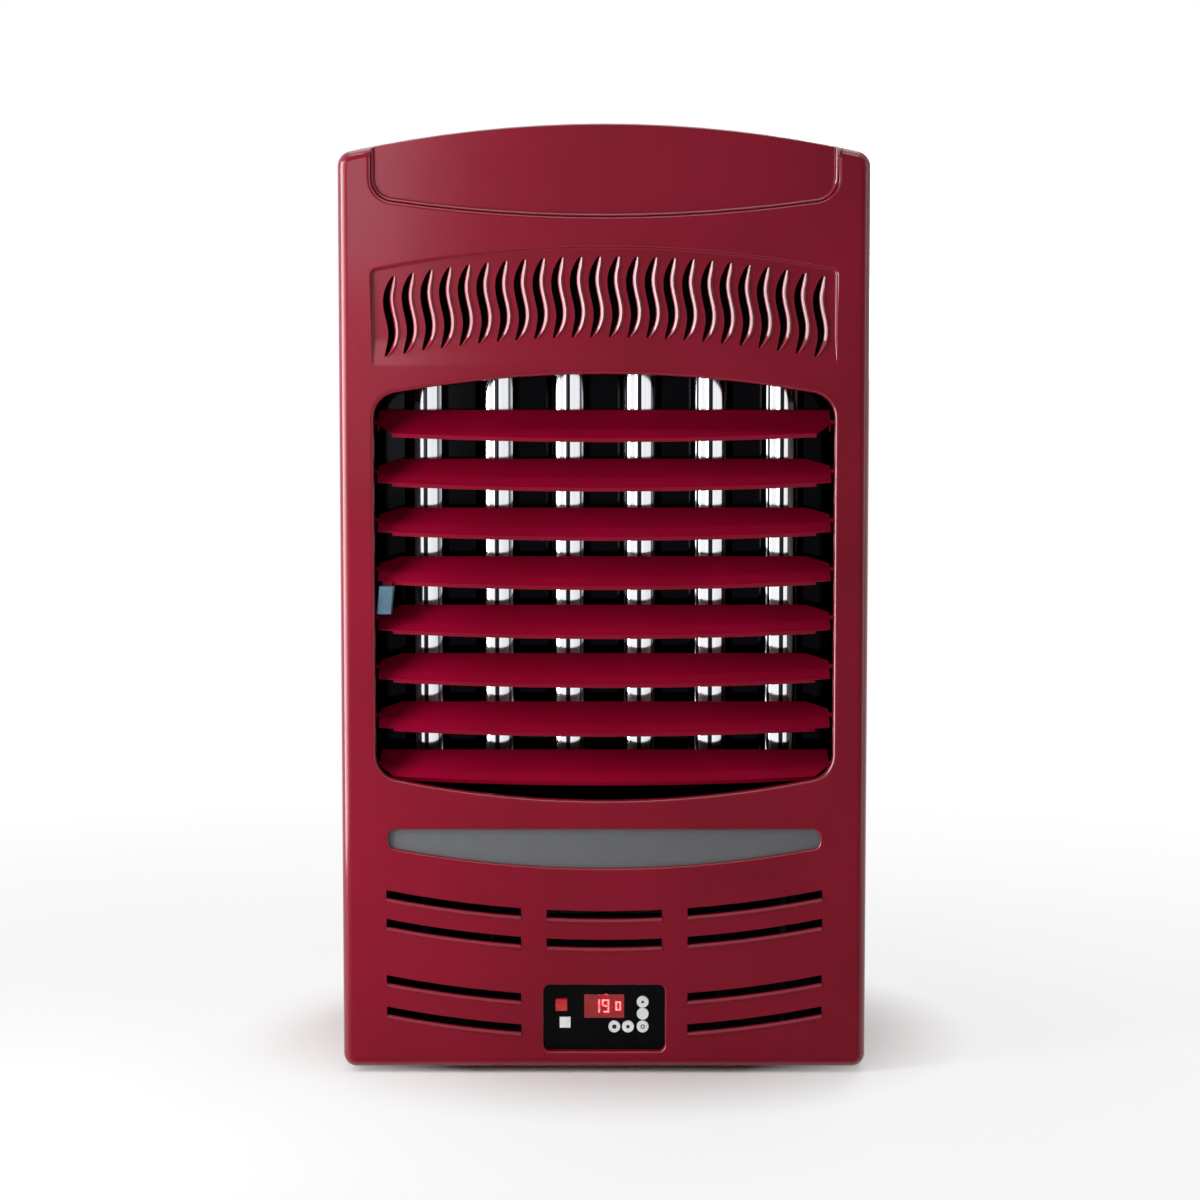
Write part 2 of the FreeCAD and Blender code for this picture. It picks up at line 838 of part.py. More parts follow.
def top_outline(inset):
    """The arched cover in section, open below the shoulders."""
    half = HALF - inset
    corner = S.corner_round - inset
    arch = S.arch_radius - inset
    side_z, (arch_x, arch_z) = arch_corner(half, S.body_tall - inset, arch, corner)
    return [(half, SHOULDER_Z), (half, side_z, corner), (arch_x, arch_z, arch), (-arch_x, arch_z, corner),
            (-half, side_z), (-half, SHOULDER_Z)]


def top_cover():
    """The arched top: a rolled sheet whose round shoulders stand on the side panels."""
    front = SHELL_BACK + S.seam_gap
    outer = top_outline(ZERO)
    inner = top_outline(S.sheet)
    band = outer + [(inner[5][0], inner[5][1]), (inner[4][0], inner[4][1], -inner[3][2]),
                    (inner[3][0], inner[3][1], -inner[2][2]), (inner[2][0], inner[2][1], -inner[1][2]),
                    (inner[1][0], inner[1][1]), (inner[0][0], inner[0][1])]
    return keep(solid("TopCover", "XZ", [band], front, BACK - front), "top_cover")


def back_outline(inset):
    """The rear wall inside the casing."""
    return arched(HALF - inset, S.body_tall - inset, S.arch_radius - inset, S.corner_round - inset,
                  FLOOR_Z + S.tray_lip, S.base_corner_round)


def back_panel():
    """The rear wall: flue hole, gas inlet and cable holes, and rows of air slots low down."""
    body = solid("BackPanel", "XZ", [back_outline(S.sheet + S.seam_gap)], REAR_Y, S.sheet)
    start = REAR_Y - S.overrun
    through = S.sheet + S.overrun * 2
    pocket(body, "XZ", [(ZERO, FLUE_Z, S.flue_radius + S.pipe_play),
                        (S.valve_x, S.burner_z, S.inlet_radius + S.pipe_play),
                        (S.gland_x, S.gland_z, S.gland_radius)], start, through)
    rows = []
    for row in range(SIZES["back_vent_rows"]):
        z = S.gland_z + S.back_vent_pitch * (row + 1)
        top = z + S.back_vent_tall
        rows.append(rounded(-S.back_vent_wide, -S.back_vent_tall, z, top, S.back_vent_round))
        rows.append(rounded(S.back_vent_tall, S.back_vent_wide, z, top, S.back_vent_round))
    pocket(body, "XZ", rows, start, through)
    return keep(body, "back_panel")


def base_tray():
    """The floor of the casing: a shallow tray with a turned-up rim and two rows of air slots."""
    half = HALF - S.sheet - S.seam_gap
    front = FACE + S.panel_return + S.sheet + S.seam_gap * 2
    back = INNER_BACK - S.seam_gap
    body = solid("BaseTray", "XY", [rounded(-half, half, front, back, S.tray_corner)],
                 FLOOR_Z + S.sheet + S.seam_gap, S.tray_lip - S.sheet - S.seam_gap * 2)
    wall = S.tray_wall
    pocket(body, "XY", [rounded(wall - half, half - wall, front + wall, back - wall, S.tray_corner - wall)],
           FLOOR_Z + S.sheet + S.seam_gap + wall, S.tray_lip)
    vents = []
    vent_place_shares = (-0.66, -0.33, 0.0, 0.33, 0.66)
    for place_share in vent_place_shares:
        middle = half * place_share
        for y in (S.tray_vent_pitch, ZERO):
            vents.append(rectangle(middle - S.tray_vent_wide / 2, middle + S.tray_vent_wide / 2,
                                   y - S.tray_vent_deep / 2, y + S.tray_vent_deep / 2))
    pocket(body, "XY", vents, FLOOR_Z, S.tray_lip)
    return keep(body, "base_tray")


def rubber_feet():
    """Four turned rubber feet under the tray."""
    feet = []
    across = HALF - S.foot_inset
    along = (S.casing_deep - S.panel_return) / 2 - S.foot_inset
    middle = (SHELL_BACK + BACK) / 2
    for x in (-across, across):
        for y in (middle - along, middle + along):
            foot = doc.addObject("Part::Cone", "Foot")
            bind(foot, Radius1=S.foot_radius * S.foot_taper_share, Radius2=S.foot_radius,
                 Height=S.foot_tall + S.sheet + S.seam_gap)
            feet.append(place(foot, x, y))
    return keep(group("Feet", feet), "rubber_feet")


# Louvre: brackets, slats, cranks, tie bar and grip

def slat_height(index):
    """The height of one slat's pivot."""
    return S.slat_top_z - S.slat_pitch * index


def louvre_bracket(side, name):
    """An upright angle of steel beside the opening, with a bearing hole for each slat."""
    low = slat_height(SLAT_COUNT - 1) - S.bracket_end
    high = S.slat_top_z + S.bracket_end
    inner = BRACKET_X * side
    outer = (BRACKET_X + S.bracket_thick) * side
    edge = (BRACKET_X + S.bracket_thick + S.bracket_foot) * side
    front = FACE + S.sheet
    outline = [(inner, front), (edge, front), (edge, front + S.bracket_thick),
               (outer, front + S.bracket_thick), (outer, PIVOT_Y + S.bracket_deep),
               (inner, PIVOT_Y + S.bracket_deep)]
    body = solid(name, "XY", [outline], low, high - low)
    holes = [(PIVOT_Y, slat_height(index), S.pin_radius + S.pin_play) for index in range(SLAT_COUNT)]
    start = (inner if side > 0 else outer) - S.overrun
    pocket(body, "YZ", holes, start, S.bracket_thick + S.overrun * 2)
    return keep(body, name)


def front_arc():
    """The radius of a slat's bowed front edge."""
    return (SLAT_END * SLAT_END + S.slat_front_bow * S.slat_front_bow) / (S.slat_front_bow * 2)


def slat_outline(end_slat):
    """A slat in plan: a bowed front edge, whose corners are cut on the first and last slat, and a
    straight rear edge, whose corners are cut on the others."""
    edge = S.slat_chord / 2
    radius = front_arc()
    if not end_slat:
        return [(-SLAT_END, -edge, radius), (SLAT_END, -edge), (SLAT_END, edge - S.slat_cut_deep),
                (SLAT_END - S.slat_cut_wide, edge), (S.slat_cut_wide - SLAT_END, edge),
                (-SLAT_END, edge - S.slat_cut_deep)]
    cut_x = SLAT_END - S.slat_corner
    drop = radius - root(radius * radius - cut_x * cut_x)
    level = drop - edge - S.slat_front_bow
    return [(-cut_x, level, radius), (cut_x, level), (SLAT_END, S.slat_corner - edge), (SLAT_END, edge),
            (-SLAT_END, edge), (-SLAT_END, S.slat_corner - edge)]


def lip_outline():
    """The turned-down front edge in plan, one sheet thick."""
    half = SLAT_END - S.slat_corner
    radius = front_arc()
    inner = radius - S.slat_thick
    centre = radius - S.slat_chord / 2 - S.slat_front_bow

    def level(arc):
        return centre - root(arc * arc - half * half)

    return [(-half, level(radius), radius), (half, level(radius)), (half, level(inner), -inner),
            (-half, level(inner))]


def louvre_slat(index):
    """One slat in its own frame, turned to its rest angle: blade, lip, ears, pivot pins and crank."""
    name = "louvre_slat_%d" % (index + 1)
    end_slat = index in (0, SLAT_COUNT - 1)
    body = solid("Slat%d" % (index + 1), "XY", [slat_outline(end_slat)], ZERO, S.slat_thick)
    pad(body, "XY", [lip_outline()], -S.slat_lip, S.slat_lip + S.slat_thick / 2)
    ear = rectangle(-S.slat_ear_long / 2, S.slat_ear_long / 2, -S.slat_ear, S.slat_thick)
    pad(body, "YZ", [ear], -SLAT_END, S.slat_thick)
    pad(body, "YZ", [ear], SLAT_END - S.slat_thick, S.slat_thick)
    stub = BRACKET_X + S.bracket_thick * 2 - SLAT_END
    pad(body, "YZ", [(ZERO, ZERO, S.pin_radius)], SLAT_END - S.slat_thick / 2, stub)
    shaft = CRANK_X + S.crank_thick / 2 - SLAT_END
    pad(body, "YZ", [(ZERO, ZERO, S.pin_radius)], -CRANK_X - S.crank_thick / 2, shaft + S.slat_thick)
    reach_y = S.crank_reach * cosine(S.slat_tilt)
    reach_z = -S.crank_reach * sine(S.slat_tilt)
    side_y = S.crank_pin_radius * 2 * sine(S.slat_tilt)
    side_z = S.crank_pin_radius * 2 * cosine(S.slat_tilt)
    arc = S.crank_pin_radius * 2 * S.end_arc_ratio
    arm = [(-side_y, -side_z), (reach_y - side_y, reach_z - side_z, arc),
           (reach_y + side_y, reach_z + side_z), (side_y, side_z, arc)]
    pad(body, "YZ", [arm], -CRANK_X - S.crank_thick, S.crank_thick)
    reach_x = S.crank_thick * 2 + S.tie_gap * 2 + S.tie_thick
    pad(body, "YZ", [(reach_y, reach_z, S.crank_pin_radius)], -CRANK_X - reach_x, reach_x)
    if index == GRIP_SLAT:
        grip_tongue(body)
    place(body, ZERO, PIVOT_Y, slat_height(index), (1, 0, 0), S.slat_tilt)
    return keep(body, name)


def grip_tongue(body):
    """A short tongue bent down from the front corner of the slat, upright at rest."""
    down_y = -sine(S.slat_tilt) * S.tongue_long
    down_z = -cosine(S.slat_tilt) * S.tongue_long
    thick_y = -cosine(S.slat_tilt) * S.slat_thick
    thick_z = sine(S.slat_tilt) * S.slat_thick
    top = (-TONGUE_BACK, S.slat_thick / 2)
    tongue = [top, (top[0] + down_y, top[1] + down_z), (top[0] + down_y + thick_y, top[1] + down_z + thick_z),
              (top[0] + thick_y, top[1] + thick_z)]
    pad(body, "YZ", [tongue], GRIP_X - S.tongue_wide / 2, S.tongue_wide)


def louvre_grip():
    """The pale lever that slides over the tongue of the fourth slat and reaches forward for the finger."""
    tongue_top = S.slat_thick / 2
    middle_y = PIVOT_Y - TONGUE_BACK * cosine(S.slat_tilt) - tongue_top * sine(S.slat_tilt) - S.slat_thick / 2
    tip_z = slat_height(GRIP_SLAT) - TONGUE_BACK * sine(S.slat_tilt) + tongue_top * cosine(S.slat_tilt) \
        - S.tongue_long
    top = tip_z + S.tongue_long / 2
    low = top - S.grip_tall
    left = GRIP_X - S.grip_wide / 2
    right = GRIP_X + S.grip_wide / 2
    front = middle_y - S.grip_front
    outline = [(left - S.grip_lean, low), (right - S.grip_lean, low), (right, top), (left, top)]
    body = solid("Grip", "XZ", [outline], front, S.grip_front + S.grip_rear)
    round_edges(body, S.grip_round, lambda edge: in_plane(edge, "y", front))
    slot = rectangle(GRIP_X - S.tongue_wide / 2 - S.grip_play, GRIP_X + S.tongue_wide / 2 + S.grip_play,
                     middle_y - S.slat_thick / 2 - S.grip_play, middle_y + S.slat_thick / 2 + S.grip_play)
    pocket(body, "XY", [slot], tip_z - S.grip_play, S.tongue_long)
    return keep(body, "louvre_grip")


def tie_bar():
    """The flat bar that joins all the cranks, so that the slats turn together."""
    x = -CRANK_X - S.crank_thick - S.tie_gap - S.tie_thick
    y = PIVOT_Y + S.crank_reach
    end = S.tie_wide / 2
    arc = end * S.end_arc_ratio
    low = slat_height(SLAT_COUNT - 1) - end / 2
    high = S.slat_top_z + end / 2
    outline = [(y - end, low, arc), (y + end, low), (y + end, high, arc), (y - end, high)]
    body = solid("TieBar", "YZ", [outline], x, S.tie_thick)
    holes = [(y, slat_height(index), S.crank_pin_radius + S.tie_play) for index in range(SLAT_COUNT)]
    pocket(body, "YZ", holes, x - S.overrun, S.tie_thick + S.overrun * 2)
    return keep(body, "louvre_tie_bar")


# Reflector and combustion chamber

def reflector():
    """A polished sheet with six upright half-round flutes and a wing folded back at each side."""
    half = REFLECTOR_WIDE / 2
    thick = S.reflector_thick
    arc = S.flute_half * S.end_arc_ratio
    depth = root(arc * arc - S.flute_half * S.flute_half)
    inner_arc = arc - thick
    inner_half = root(inner_arc * inner_arc - (depth - thick) * (depth - thick))
    outer = []
    fold = []
    for index in range(SIZES["flute_count"]):
        middle = S.flute_pitch * (index - (SIZES["flute_count"] - 1) / 2)
        outer.append((middle - S.flute_half, REFLECTOR_Y, arc))
        outer.append((middle + S.flute_half, REFLECTOR_Y))
        fold.insert(0, (middle - inner_half, REFLECTOR_Y + thick))
        fold.insert(0, (middle + inner_half, REFLECTOR_Y + thick, -inner_arc))
    back = [(half, REFLECTOR_Y), (half, REFLECTOR_Y + S.reflector_wing),
            (half - thick, REFLECTOR_Y + S.reflector_wing), (half - thick, REFLECTOR_Y + thick)]
    end = [(thick - half, REFLECTOR_Y + thick), (thick - half, REFLECTOR_Y + S.reflector_wing),
           (-half, REFLECTOR_Y + S.reflector_wing), (-half, REFLECTOR_Y)]
    body = solid("Reflector", "XY", [outer + back + fold + end], S.reflector_low_z, S.reflector_tall)
    return keep(body, "reflector")


def combustion_chamber():
    """A welded drum, open below over the burner, with a round outlet at the back."""
    half = S.chamber_wide / 2
    wall = S.chamber_wall
    body = solid("Chamber", "XY", [rounded(-half, half, CHAMBER_Y, CHAMBER_BACK, S.chamber_round)],
                 S.chamber_low_z, S.chamber_tall)
    outlet = S.flue_radius + S.pipe_play + wall
    pad(body, "XZ", [(ZERO, FLUE_Z, outlet)], CHAMBER_BACK - wall / 2, FLUE_START + S.flue_lap
        - CHAMBER_BACK + wall / 2)
    pocket(body, "XY", [rounded(wall - half, half - wall, CHAMBER_Y + wall, CHAMBER_BACK - wall,
                                S.chamber_round - wall)], S.chamber_low_z, S.chamber_tall - wall)
    pocket(body, "XZ", [(ZERO, FLUE_Z, outlet - wall)], CHAMBER_BACK - wall * 2,
           FLUE_START + S.flue_lap - CHAMBER_BACK + wall * 3)
    return keep(body, "combustion_chamber")


def flue_collar():
    """The flue socket: a short tube through the rear wall, with a flange against it."""
    end = BACK + S.flue_reach
    bore = S.flue_radius - S.flue_wall
    body = solid("FlueCollar", "XZ", [(ZERO, FLUE_Z, S.flue_radius)], FLUE_START, end - FLUE_START)
    pad(body, "XZ", [(ZERO, FLUE_Z, S.flue_radius + S.flue_flange)], REAR_Y + S.sheet, S.flue_wall)
    pocket(body, "XZ", [(ZERO, FLUE_Z, bore)], FLUE_START - S.overrun, end - FLUE_START + S.overrun * 2)
    return keep(body, "flue_collar")


def chamber_legs():
    """Four uprights from the tray that carry the chamber, with turned-out feet."""
    legs = []
    near = CHAMBER_Y + S.chamber_round
    far = CHAMBER_BACK - S.chamber_round
    for side in (-1, 1):
        inner = S.chamber_wide / 2 * side
        outer = (S.chamber_wide / 2 + S.leg_thick) * side
        edge = (S.chamber_wide / 2 + S.leg_foot) * side
        for start in (near, far - S.leg_wide):
            outline = [(inner, TRAY_TOP), (edge, TRAY_TOP), (edge, TRAY_TOP + S.leg_thick),
                       (outer, TRAY_TOP + S.leg_thick), (outer, S.chamber_low_z + S.leg_lap),
                       (inner, S.chamber_low_z + S.leg_lap)]
            legs.append(solid("Leg", "XZ", [outline], start, S.leg_wide))
    return keep(group("Legs", legs), "chamber_legs")


def reflector_brackets():
    """Four straps that hold the reflector's wings to the sides of the chamber."""
    straps = []
    start = CHAMBER_Y + S.chamber_round + S.leg_thick
    for side in (-1, 1):
        near = S.chamber_wide / 2 * side
        far = (REFLECTOR_WIDE / 2 - S.reflector_thick) * side
        for z in (S.chamber_low_z + S.leg_lap + S.strap_tall,
                  S.chamber_low_z + S.chamber_tall - S.strap_tall * 2):
            ends = [near, far] if side > 0 else [far, near]
            straps.append(solid("Strap", "XZ", [rectangle(ends[0], ends[1], z, z + S.strap_tall)], start,
                                S.leg_thick))
    return keep(group("Straps", straps), "reflector_brackets")


# Burner and gas train

def burner_tube():
    """A round burner with a row of ports along its top and an open mouth for the injector."""
    body = solid("Burner", "YZ", [(BURNER_Y, S.burner_z, S.burner_radius)], BURNER_LOW_X, S.burner_length)
    pocket(body, "YZ", [(BURNER_Y, S.burner_z, S.burner_radius - S.burner_wall)],
           BURNER_LOW_X + S.burner_wall, S.burner_length)
    ports = []
    half = S.port_long / 2
    span = S.burner_length * S.port_span_share
    for index in range(SIZES["port_count"]):
        x = span * (index / (SIZES["port_count"] - 1) - 0.5)
        ports.append(rectangle(x - S.port_wide / 2, x + S.port_wide / 2, BURNER_Y - half, BURNER_Y + half))
    pocket(body, "XY", ports, S.burner_z + S.burner_radius / 2, S.burner_radius)
    return keep(body, "burner_tube")


def burner_brackets():
    """Two stands on the tray whose upper ends cradle the burner."""
    stands = []
    reach = BURNER_HIGH_X * S.stand_place_share
    half = S.stand_wide / 2
    cup = S.burner_radius + S.pin_play
    level = S.burner_z - cup * S.cradle_share
    reach_y = root(cup * cup * (1 - S.cradle_share * S.cradle_share))
    for x in (-reach, reach):
        outline = [
            (BURNER_Y - half, TRAY_TOP), (BURNER_Y + half, TRAY_TOP), (BURNER_Y + half, level),
            (BURNER_Y + reach_y, level, -cup), (BURNER_Y - reach_y, level), (BURNER_Y - half, level)]
        stand = solid("Stand", "YZ", [outline], x, S.leg_thick)
        pad(stand, "XY", [rectangle(x, x + S.leg_foot, BURNER_Y - half, BURNER_Y + half)], TRAY_TOP,
            S.leg_thick)
        stands.append(stand)
    return keep(group("Stands", stands), "burner_brackets")


def hexagon(x, y, radius):
    """A hexagon with its corners at one radius."""
    tall = radius * root(dim(3)) / 2
    return [(x + radius, y), (x + radius / 2, y + tall), (x - radius / 2, y + tall), (x - radius, y),
            (x - radius / 2, y - tall), (x + radius / 2, y - tall)]


def gas_injector():
    """The injector: a hexagon and a nozzle that reaches into the burner's open mouth."""
    body = solid("Injector", "YZ", [hexagon(BURNER_Y, S.burner_z, S.injector_radius)], INJECTOR_X,
                 S.injector_long)
    pad(body, "YZ", [(BURNER_Y, S.burner_z, S.injector_radius / 2)], INJECTOR_X - S.injector_long,
        S.injector_long)
    return keep(body, "gas_injector")


def probe_holder():
    """A small shelf on the front of the burner with a hole for each probe."""
    start = BURNER_Y - S.burner_radius
    body = solid("Shelf", "XY", [rectangle(-S.shelf_wide / 2, S.shelf_wide / 2, start - S.shelf_deep, start)],
                 S.burner_z - S.leg_thick / 2, S.leg_thick)
    y = start - S.shelf_deep / 2
    holes = [(x, y, S.ceramic_radius + S.pin_play) for x in (-S.probe_x, S.probe_x)]
    pocket(body, "XY", holes, S.burner_z - S.leg_thick, S.leg_thick * 2)
    return keep(body, "probe_holder")


def probe(x, rod, name):
    """A ceramic sleeve in the shelf with a metal rod that stands up beside the flames."""
    y = BURNER_Y - S.burner_radius - S.shelf_deep / 2
    low = S.burner_z - S.ceramic_long / 2
    body = solid(name, "XY", [(x, y, S.ceramic_radius)], low, S.ceramic_long)
    pad(body, "XY", [(x, y, S.rod_radius)], low - S.rod_drop, rod)
    return keep(body, name)


def gas_valve():
    """The gas control block in line with the burner, with its outlet boss and its inlet boss."""
    block = rounded(VALVE_LEFT, VALVE_LEFT + S.valve_wide, VALVE_FRONT, VALVE_REAR, S.valve_round)
    body = solid("Valve", "XY", [block], VALVE_LOW, S.valve_tall)
    pad(body, "YZ", [(BURNER_Y, S.burner_z, S.inlet_radius)], VALVE_LEFT - S.boss_long, S.boss_long * 2)
    pad(body, "XZ", [(S.valve_x, S.burner_z, S.inlet_radius)], VALVE_REAR - S.boss_long, S.boss_long * 2)
    return keep(body, "gas_valve")


def solenoid_coils():
    """Two coils on top of the valve, each with its core nut."""
    coils = []
    low = VALVE_LOW + S.valve_tall
    for y in (BURNER_Y - S.coil_pitch / 2, BURNER_Y + S.coil_pitch / 2):
        coil = cylinder("Coil", S.coil_radius, S.coil_tall, S.valve_x, y, low)
        nut = cylinder("CoilNut", S.core_radius, S.core_tall, S.valve_x, y, low + S.coil_tall)
        coils.append(fuse("CoilUnit", [coil, nut]))
    return keep(group("Coils", coils), "solenoid_coils")


def valve_bracket():
    """A folded stand that carries the valve above the tray."""
    thick = S.leg_thick
    outline = [(VALVE_LEFT, TRAY_TOP), (VALVE_LEFT + S.leg_foot, TRAY_TOP),
               (VALVE_LEFT + S.leg_foot, TRAY_TOP + thick), (VALVE_LEFT + thick, TRAY_TOP + thick),
               (VALVE_LEFT + thick, VALVE_LOW - thick), (VALVE_LEFT + S.valve_wide, VALVE_LOW - thick),
               (VALVE_LEFT + S.valve_wide, VALVE_LOW), (VALVE_LEFT, VALVE_LOW)]
    stand = solid("ValveStand", "XZ", [outline], BURNER_Y - S.stand_wide / 2, S.stand_wide)
    return keep(stand, "valve_bracket")


def gas_inlet_pipe():
    """The inlet pipe from the valve out through the rear wall, with its thicker end."""
    start = VALVE_REAR + S.boss_long
    pipe = along_y("InletPipe", S.pipe_radius, BACK + S.boss_long - start, S.valve_x, start, S.burner_z)
    end = along_y("InletEnd", S.inlet_radius, S.inlet_long, S.valve_x, BACK, S.burner_z)
    return keep(fuse("Inlet", [pipe, end]), "gas_inlet_pipe")


def manifold_pipe():
    """The short pipe from the valve's outlet to the injector."""
    start = INJECTOR_X + S.injector_long
    return keep(along_x("Manifold", S.pipe_radius, VALVE_LEFT - S.boss_long - start, start, BURNER_Y,
                        S.burner_z), "manifold_pipe")


def cable_gland():
    """A bushing in the rear wall where a mains lead would enter."""
    body = solid("Gland", "XZ", [(S.gland_x, S.gland_z, S.gland_radius)], REAR_Y - S.gland_lip,
                 S.sheet + S.gland_lip)
    pad(body, "XZ", [(S.gland_x, S.gland_z, S.gland_radius + S.gland_lip)], REAR_Y + S.sheet, S.gland_lip)
    pocket(body, "XZ", [(S.gland_x, S.gland_z, S.gland_wire_radius)], REAR_Y - S.gland_lip - S.overrun,
           S.sheet + (S.gland_lip + S.overrun) * 2)
    return keep(body, "cable_gland")


# Window plate and its clips

def window_plate():
    """The grey plate behind the long window."""
    return keep(solid("WindowPlate", "XZ", [window_outline(S.plate_lap)], PLATE_Y, S.plate_thick),
                "window_plate")


def plate_clips():
    """Four folded clips that press the plate against the window's flange."""
    thick = S.sheet
    clips = []
    edge = S.window_top_z + S.plate_lap
    front = FACE + S.sheet
    rear = PLATE_Y + S.plate_thick
    clip_place_shares = (-0.8, -0.3, 0.3, 0.8)
    for place_share in clip_place_shares:
        x = WINDOW_WIDE / 2 * place_share
        outline = [(front, edge + S.seam_gap), (front, edge + S.clip_tall),
                   (front + thick, edge + S.clip_tall), (front + thick, edge + S.seam_gap + thick),
                   (rear + thick, edge + S.seam_gap + thick), (rear + thick, edge - S.plate_lap),
                   (rear, edge - S.plate_lap), (rear, edge + S.seam_gap)]
        clips.append(solid("Clip", "YZ", [outline], x - S.clip_wide / 2, S.clip_wide))
    return keep(group("Clips", clips), "plate_clips")


# Control panel

def square_about(x, z, half_x, half_z):
    """The corners of a rectangle about its middle."""
    return rectangle(x - half_x, x + half_x, z - half_z, z + half_z)


def control_fascia():
    """The black plate behind the cut-out, with a hole for every button and for the display."""
    lap = S.fascia_lap
    half = S.control_wide / 2 + lap
    outline = rounded(-half, half, S.control_low_z - lap, S.control_top_z + lap, S.control_corner + lap)
    body = solid("Fascia", "XZ", [outline], CONTROL_Y, S.fascia_thick)
    holes = [(x, z, S.round_button_radius + S.button_gap) for x, z in ROUND_BUTTONS]
    reach = S.square_button_side / 2 + S.button_gap
    holes.append(square_about(S.square_button_x, S.square_button_z, reach, reach))
    holes.append(square_about(S.rocker_x, S.rocker_z, FRAME_HALF_X + S.button_gap / 2,
                              FRAME_HALF_Z + S.button_gap / 2))
    holes.append(square_about(ZERO, S.display_z, S.display_wide / 2, S.display_tall / 2))
    pocket(body, "XZ", holes, CONTROL_Y - S.overrun, S.fascia_thick + S.overrun * 2)
    return keep(body, "control_fascia")


def control_housing():
    """The moulded box behind the fascia, with four posts that carry the circuit board."""
    lap = S.fascia_lap
    half = S.control_wide / 2 + lap
    wall = S.housing_wall
    corner = S.control_corner + lap
    body = solid("Housing", "XZ",
                 [rounded(-half, half, S.control_low_z - lap, S.control_top_z + lap, corner)],
                 FASCIA_BACK, S.housing_deep)
    pocket(body, "XZ", [rounded(wall - half, half - wall, S.control_low_z - lap + wall,
                                S.control_top_z + lap - wall, corner - wall)], FASCIA_BACK - S.overrun,
           S.housing_deep - wall + S.overrun)
    posts = []
    for x in (-S.board_wide / 2 + S.post_inset, S.board_wide / 2 - S.post_inset):
        for z in (S.board_low_z + S.post_inset, S.board_low_z + S.board_tall - S.post_inset):
            posts.append((x, z, S.post_radius))
    start = BOARD_Y + S.board_thick
    pad(body, "XZ", posts, start, FASCIA_BACK + S.housing_deep - start - wall / 2)
    return keep(body, "control_housing")


def circuit_board():
    """The circuit board on its posts."""
    board = rectangle(-S.board_wide / 2, S.board_wide / 2, S.board_low_z, S.board_low_z + S.board_tall)
    return keep(solid("Board", "XZ", [board], BOARD_Y, S.board_thick), "circuit_board")


def display_window_and_module():
    """The red window in the fascia and the module that carries the digits behind it."""
    half_x = S.display_wide / 2 - S.button_gap / 2
    half_z = S.display_tall / 2 - S.button_gap / 2
    face = square_about(ZERO, S.display_z, half_x, half_z)
    keep(solid("DisplayWindow", "XZ", [face], CONTROL_Y, S.display_thick), "display_window")
    start = CONTROL_Y + S.display_thick + S.digit_thick
    keep(solid("DisplayModule", "XZ", [face], start, BOARD_Y - start), "display_module")


def display_digits():
    """Two large digits and a small one, each of thin bars, between the window and the module."""
    shapes = {"1": "bc", "9": "abcdfg", "0": "abcdef"}
    places = (("1", S.digit_1_x, S.digit_wide, S.digit_tall), ("9", S.digit_2_x, S.digit_wide, S.digit_tall),
              ("0", S.digit_3_x, S.digit_wide * S.small_wide_share,
               S.digit_tall * S.small_tall_share))
    bars = []
    for figure, x, wide, tall in places:
        half = wide / 2
        stroke = S.digit_stroke
        gap = S.digit_gap
        low = S.display_z - tall / 2
        high = S.display_z + tall / 2
        middle = S.display_z
        segments = {
            "a": rectangle(x - half + stroke, x + half - stroke, high - stroke, high),
            "b": rectangle(x + half - stroke, x + half, middle + gap, high),
            "c": rectangle(x + half - stroke, x + half, low, middle - gap),
            "d": rectangle(x - half + stroke, x + half - stroke, low, low + stroke),
            "e": rectangle(x - half, x - half + stroke, low, middle - gap),
            "f": rectangle(x - half, x - half + stroke, middle + gap, high),
            "g": rectangle(x - half + stroke + gap, x + half - stroke - gap, middle - stroke / 2,
                           middle + stroke / 2),
        }
        for letter in shapes[figure]:
            bars.append(solid("Bar", "XZ", [segments[letter]], CONTROL_Y + S.display_thick, S.digit_thick))
    return keep(group("Digits", bars), "display_digits")


def round_button(number, x, z):
    """A round cap with the stem that reaches its switch."""
    name = "round_button_%d" % number
    start = CONTROL_Y - S.button_proud
    body = solid("RoundButton%d" % number, "XZ", [(x, z, S.round_button_radius)], start, S.cap_thick)
    pad(body, "XZ", [(x, z, S.stem_radius)], start + S.cap_thick / 2, STEM_END - start - S.cap_thick / 2)
    return keep(body, name)


def square_button():
    """The square cap with its stem."""
    start = CONTROL_Y - S.button_proud
    half = S.square_button_side / 2
    body = solid("SquareButton", "XZ",
                 [square_about(S.square_button_x, S.square_button_z, half, half)], start,
                 S.cap_thick)
    pad(body, "XZ", [(S.square_button_x, S.square_button_z, S.stem_radius)], start + S.cap_thick / 2,
        STEM_END - start - S.cap_thick / 2)
    return keep(body, "square_button")


def tact_switches():
    """One small switch on the board behind each button."""
    half = S.switch_side / 2
    places = ROUND_BUTTONS + ((S.square_button_x, S.square_button_z),)
    switches = [solid("Switch", "XZ", [square_about(x, z, half, half)], SWITCH_TOP, S.switch_tall)
                for x, z in places]
    return keep(group("Switches", switches), "tact_switches")


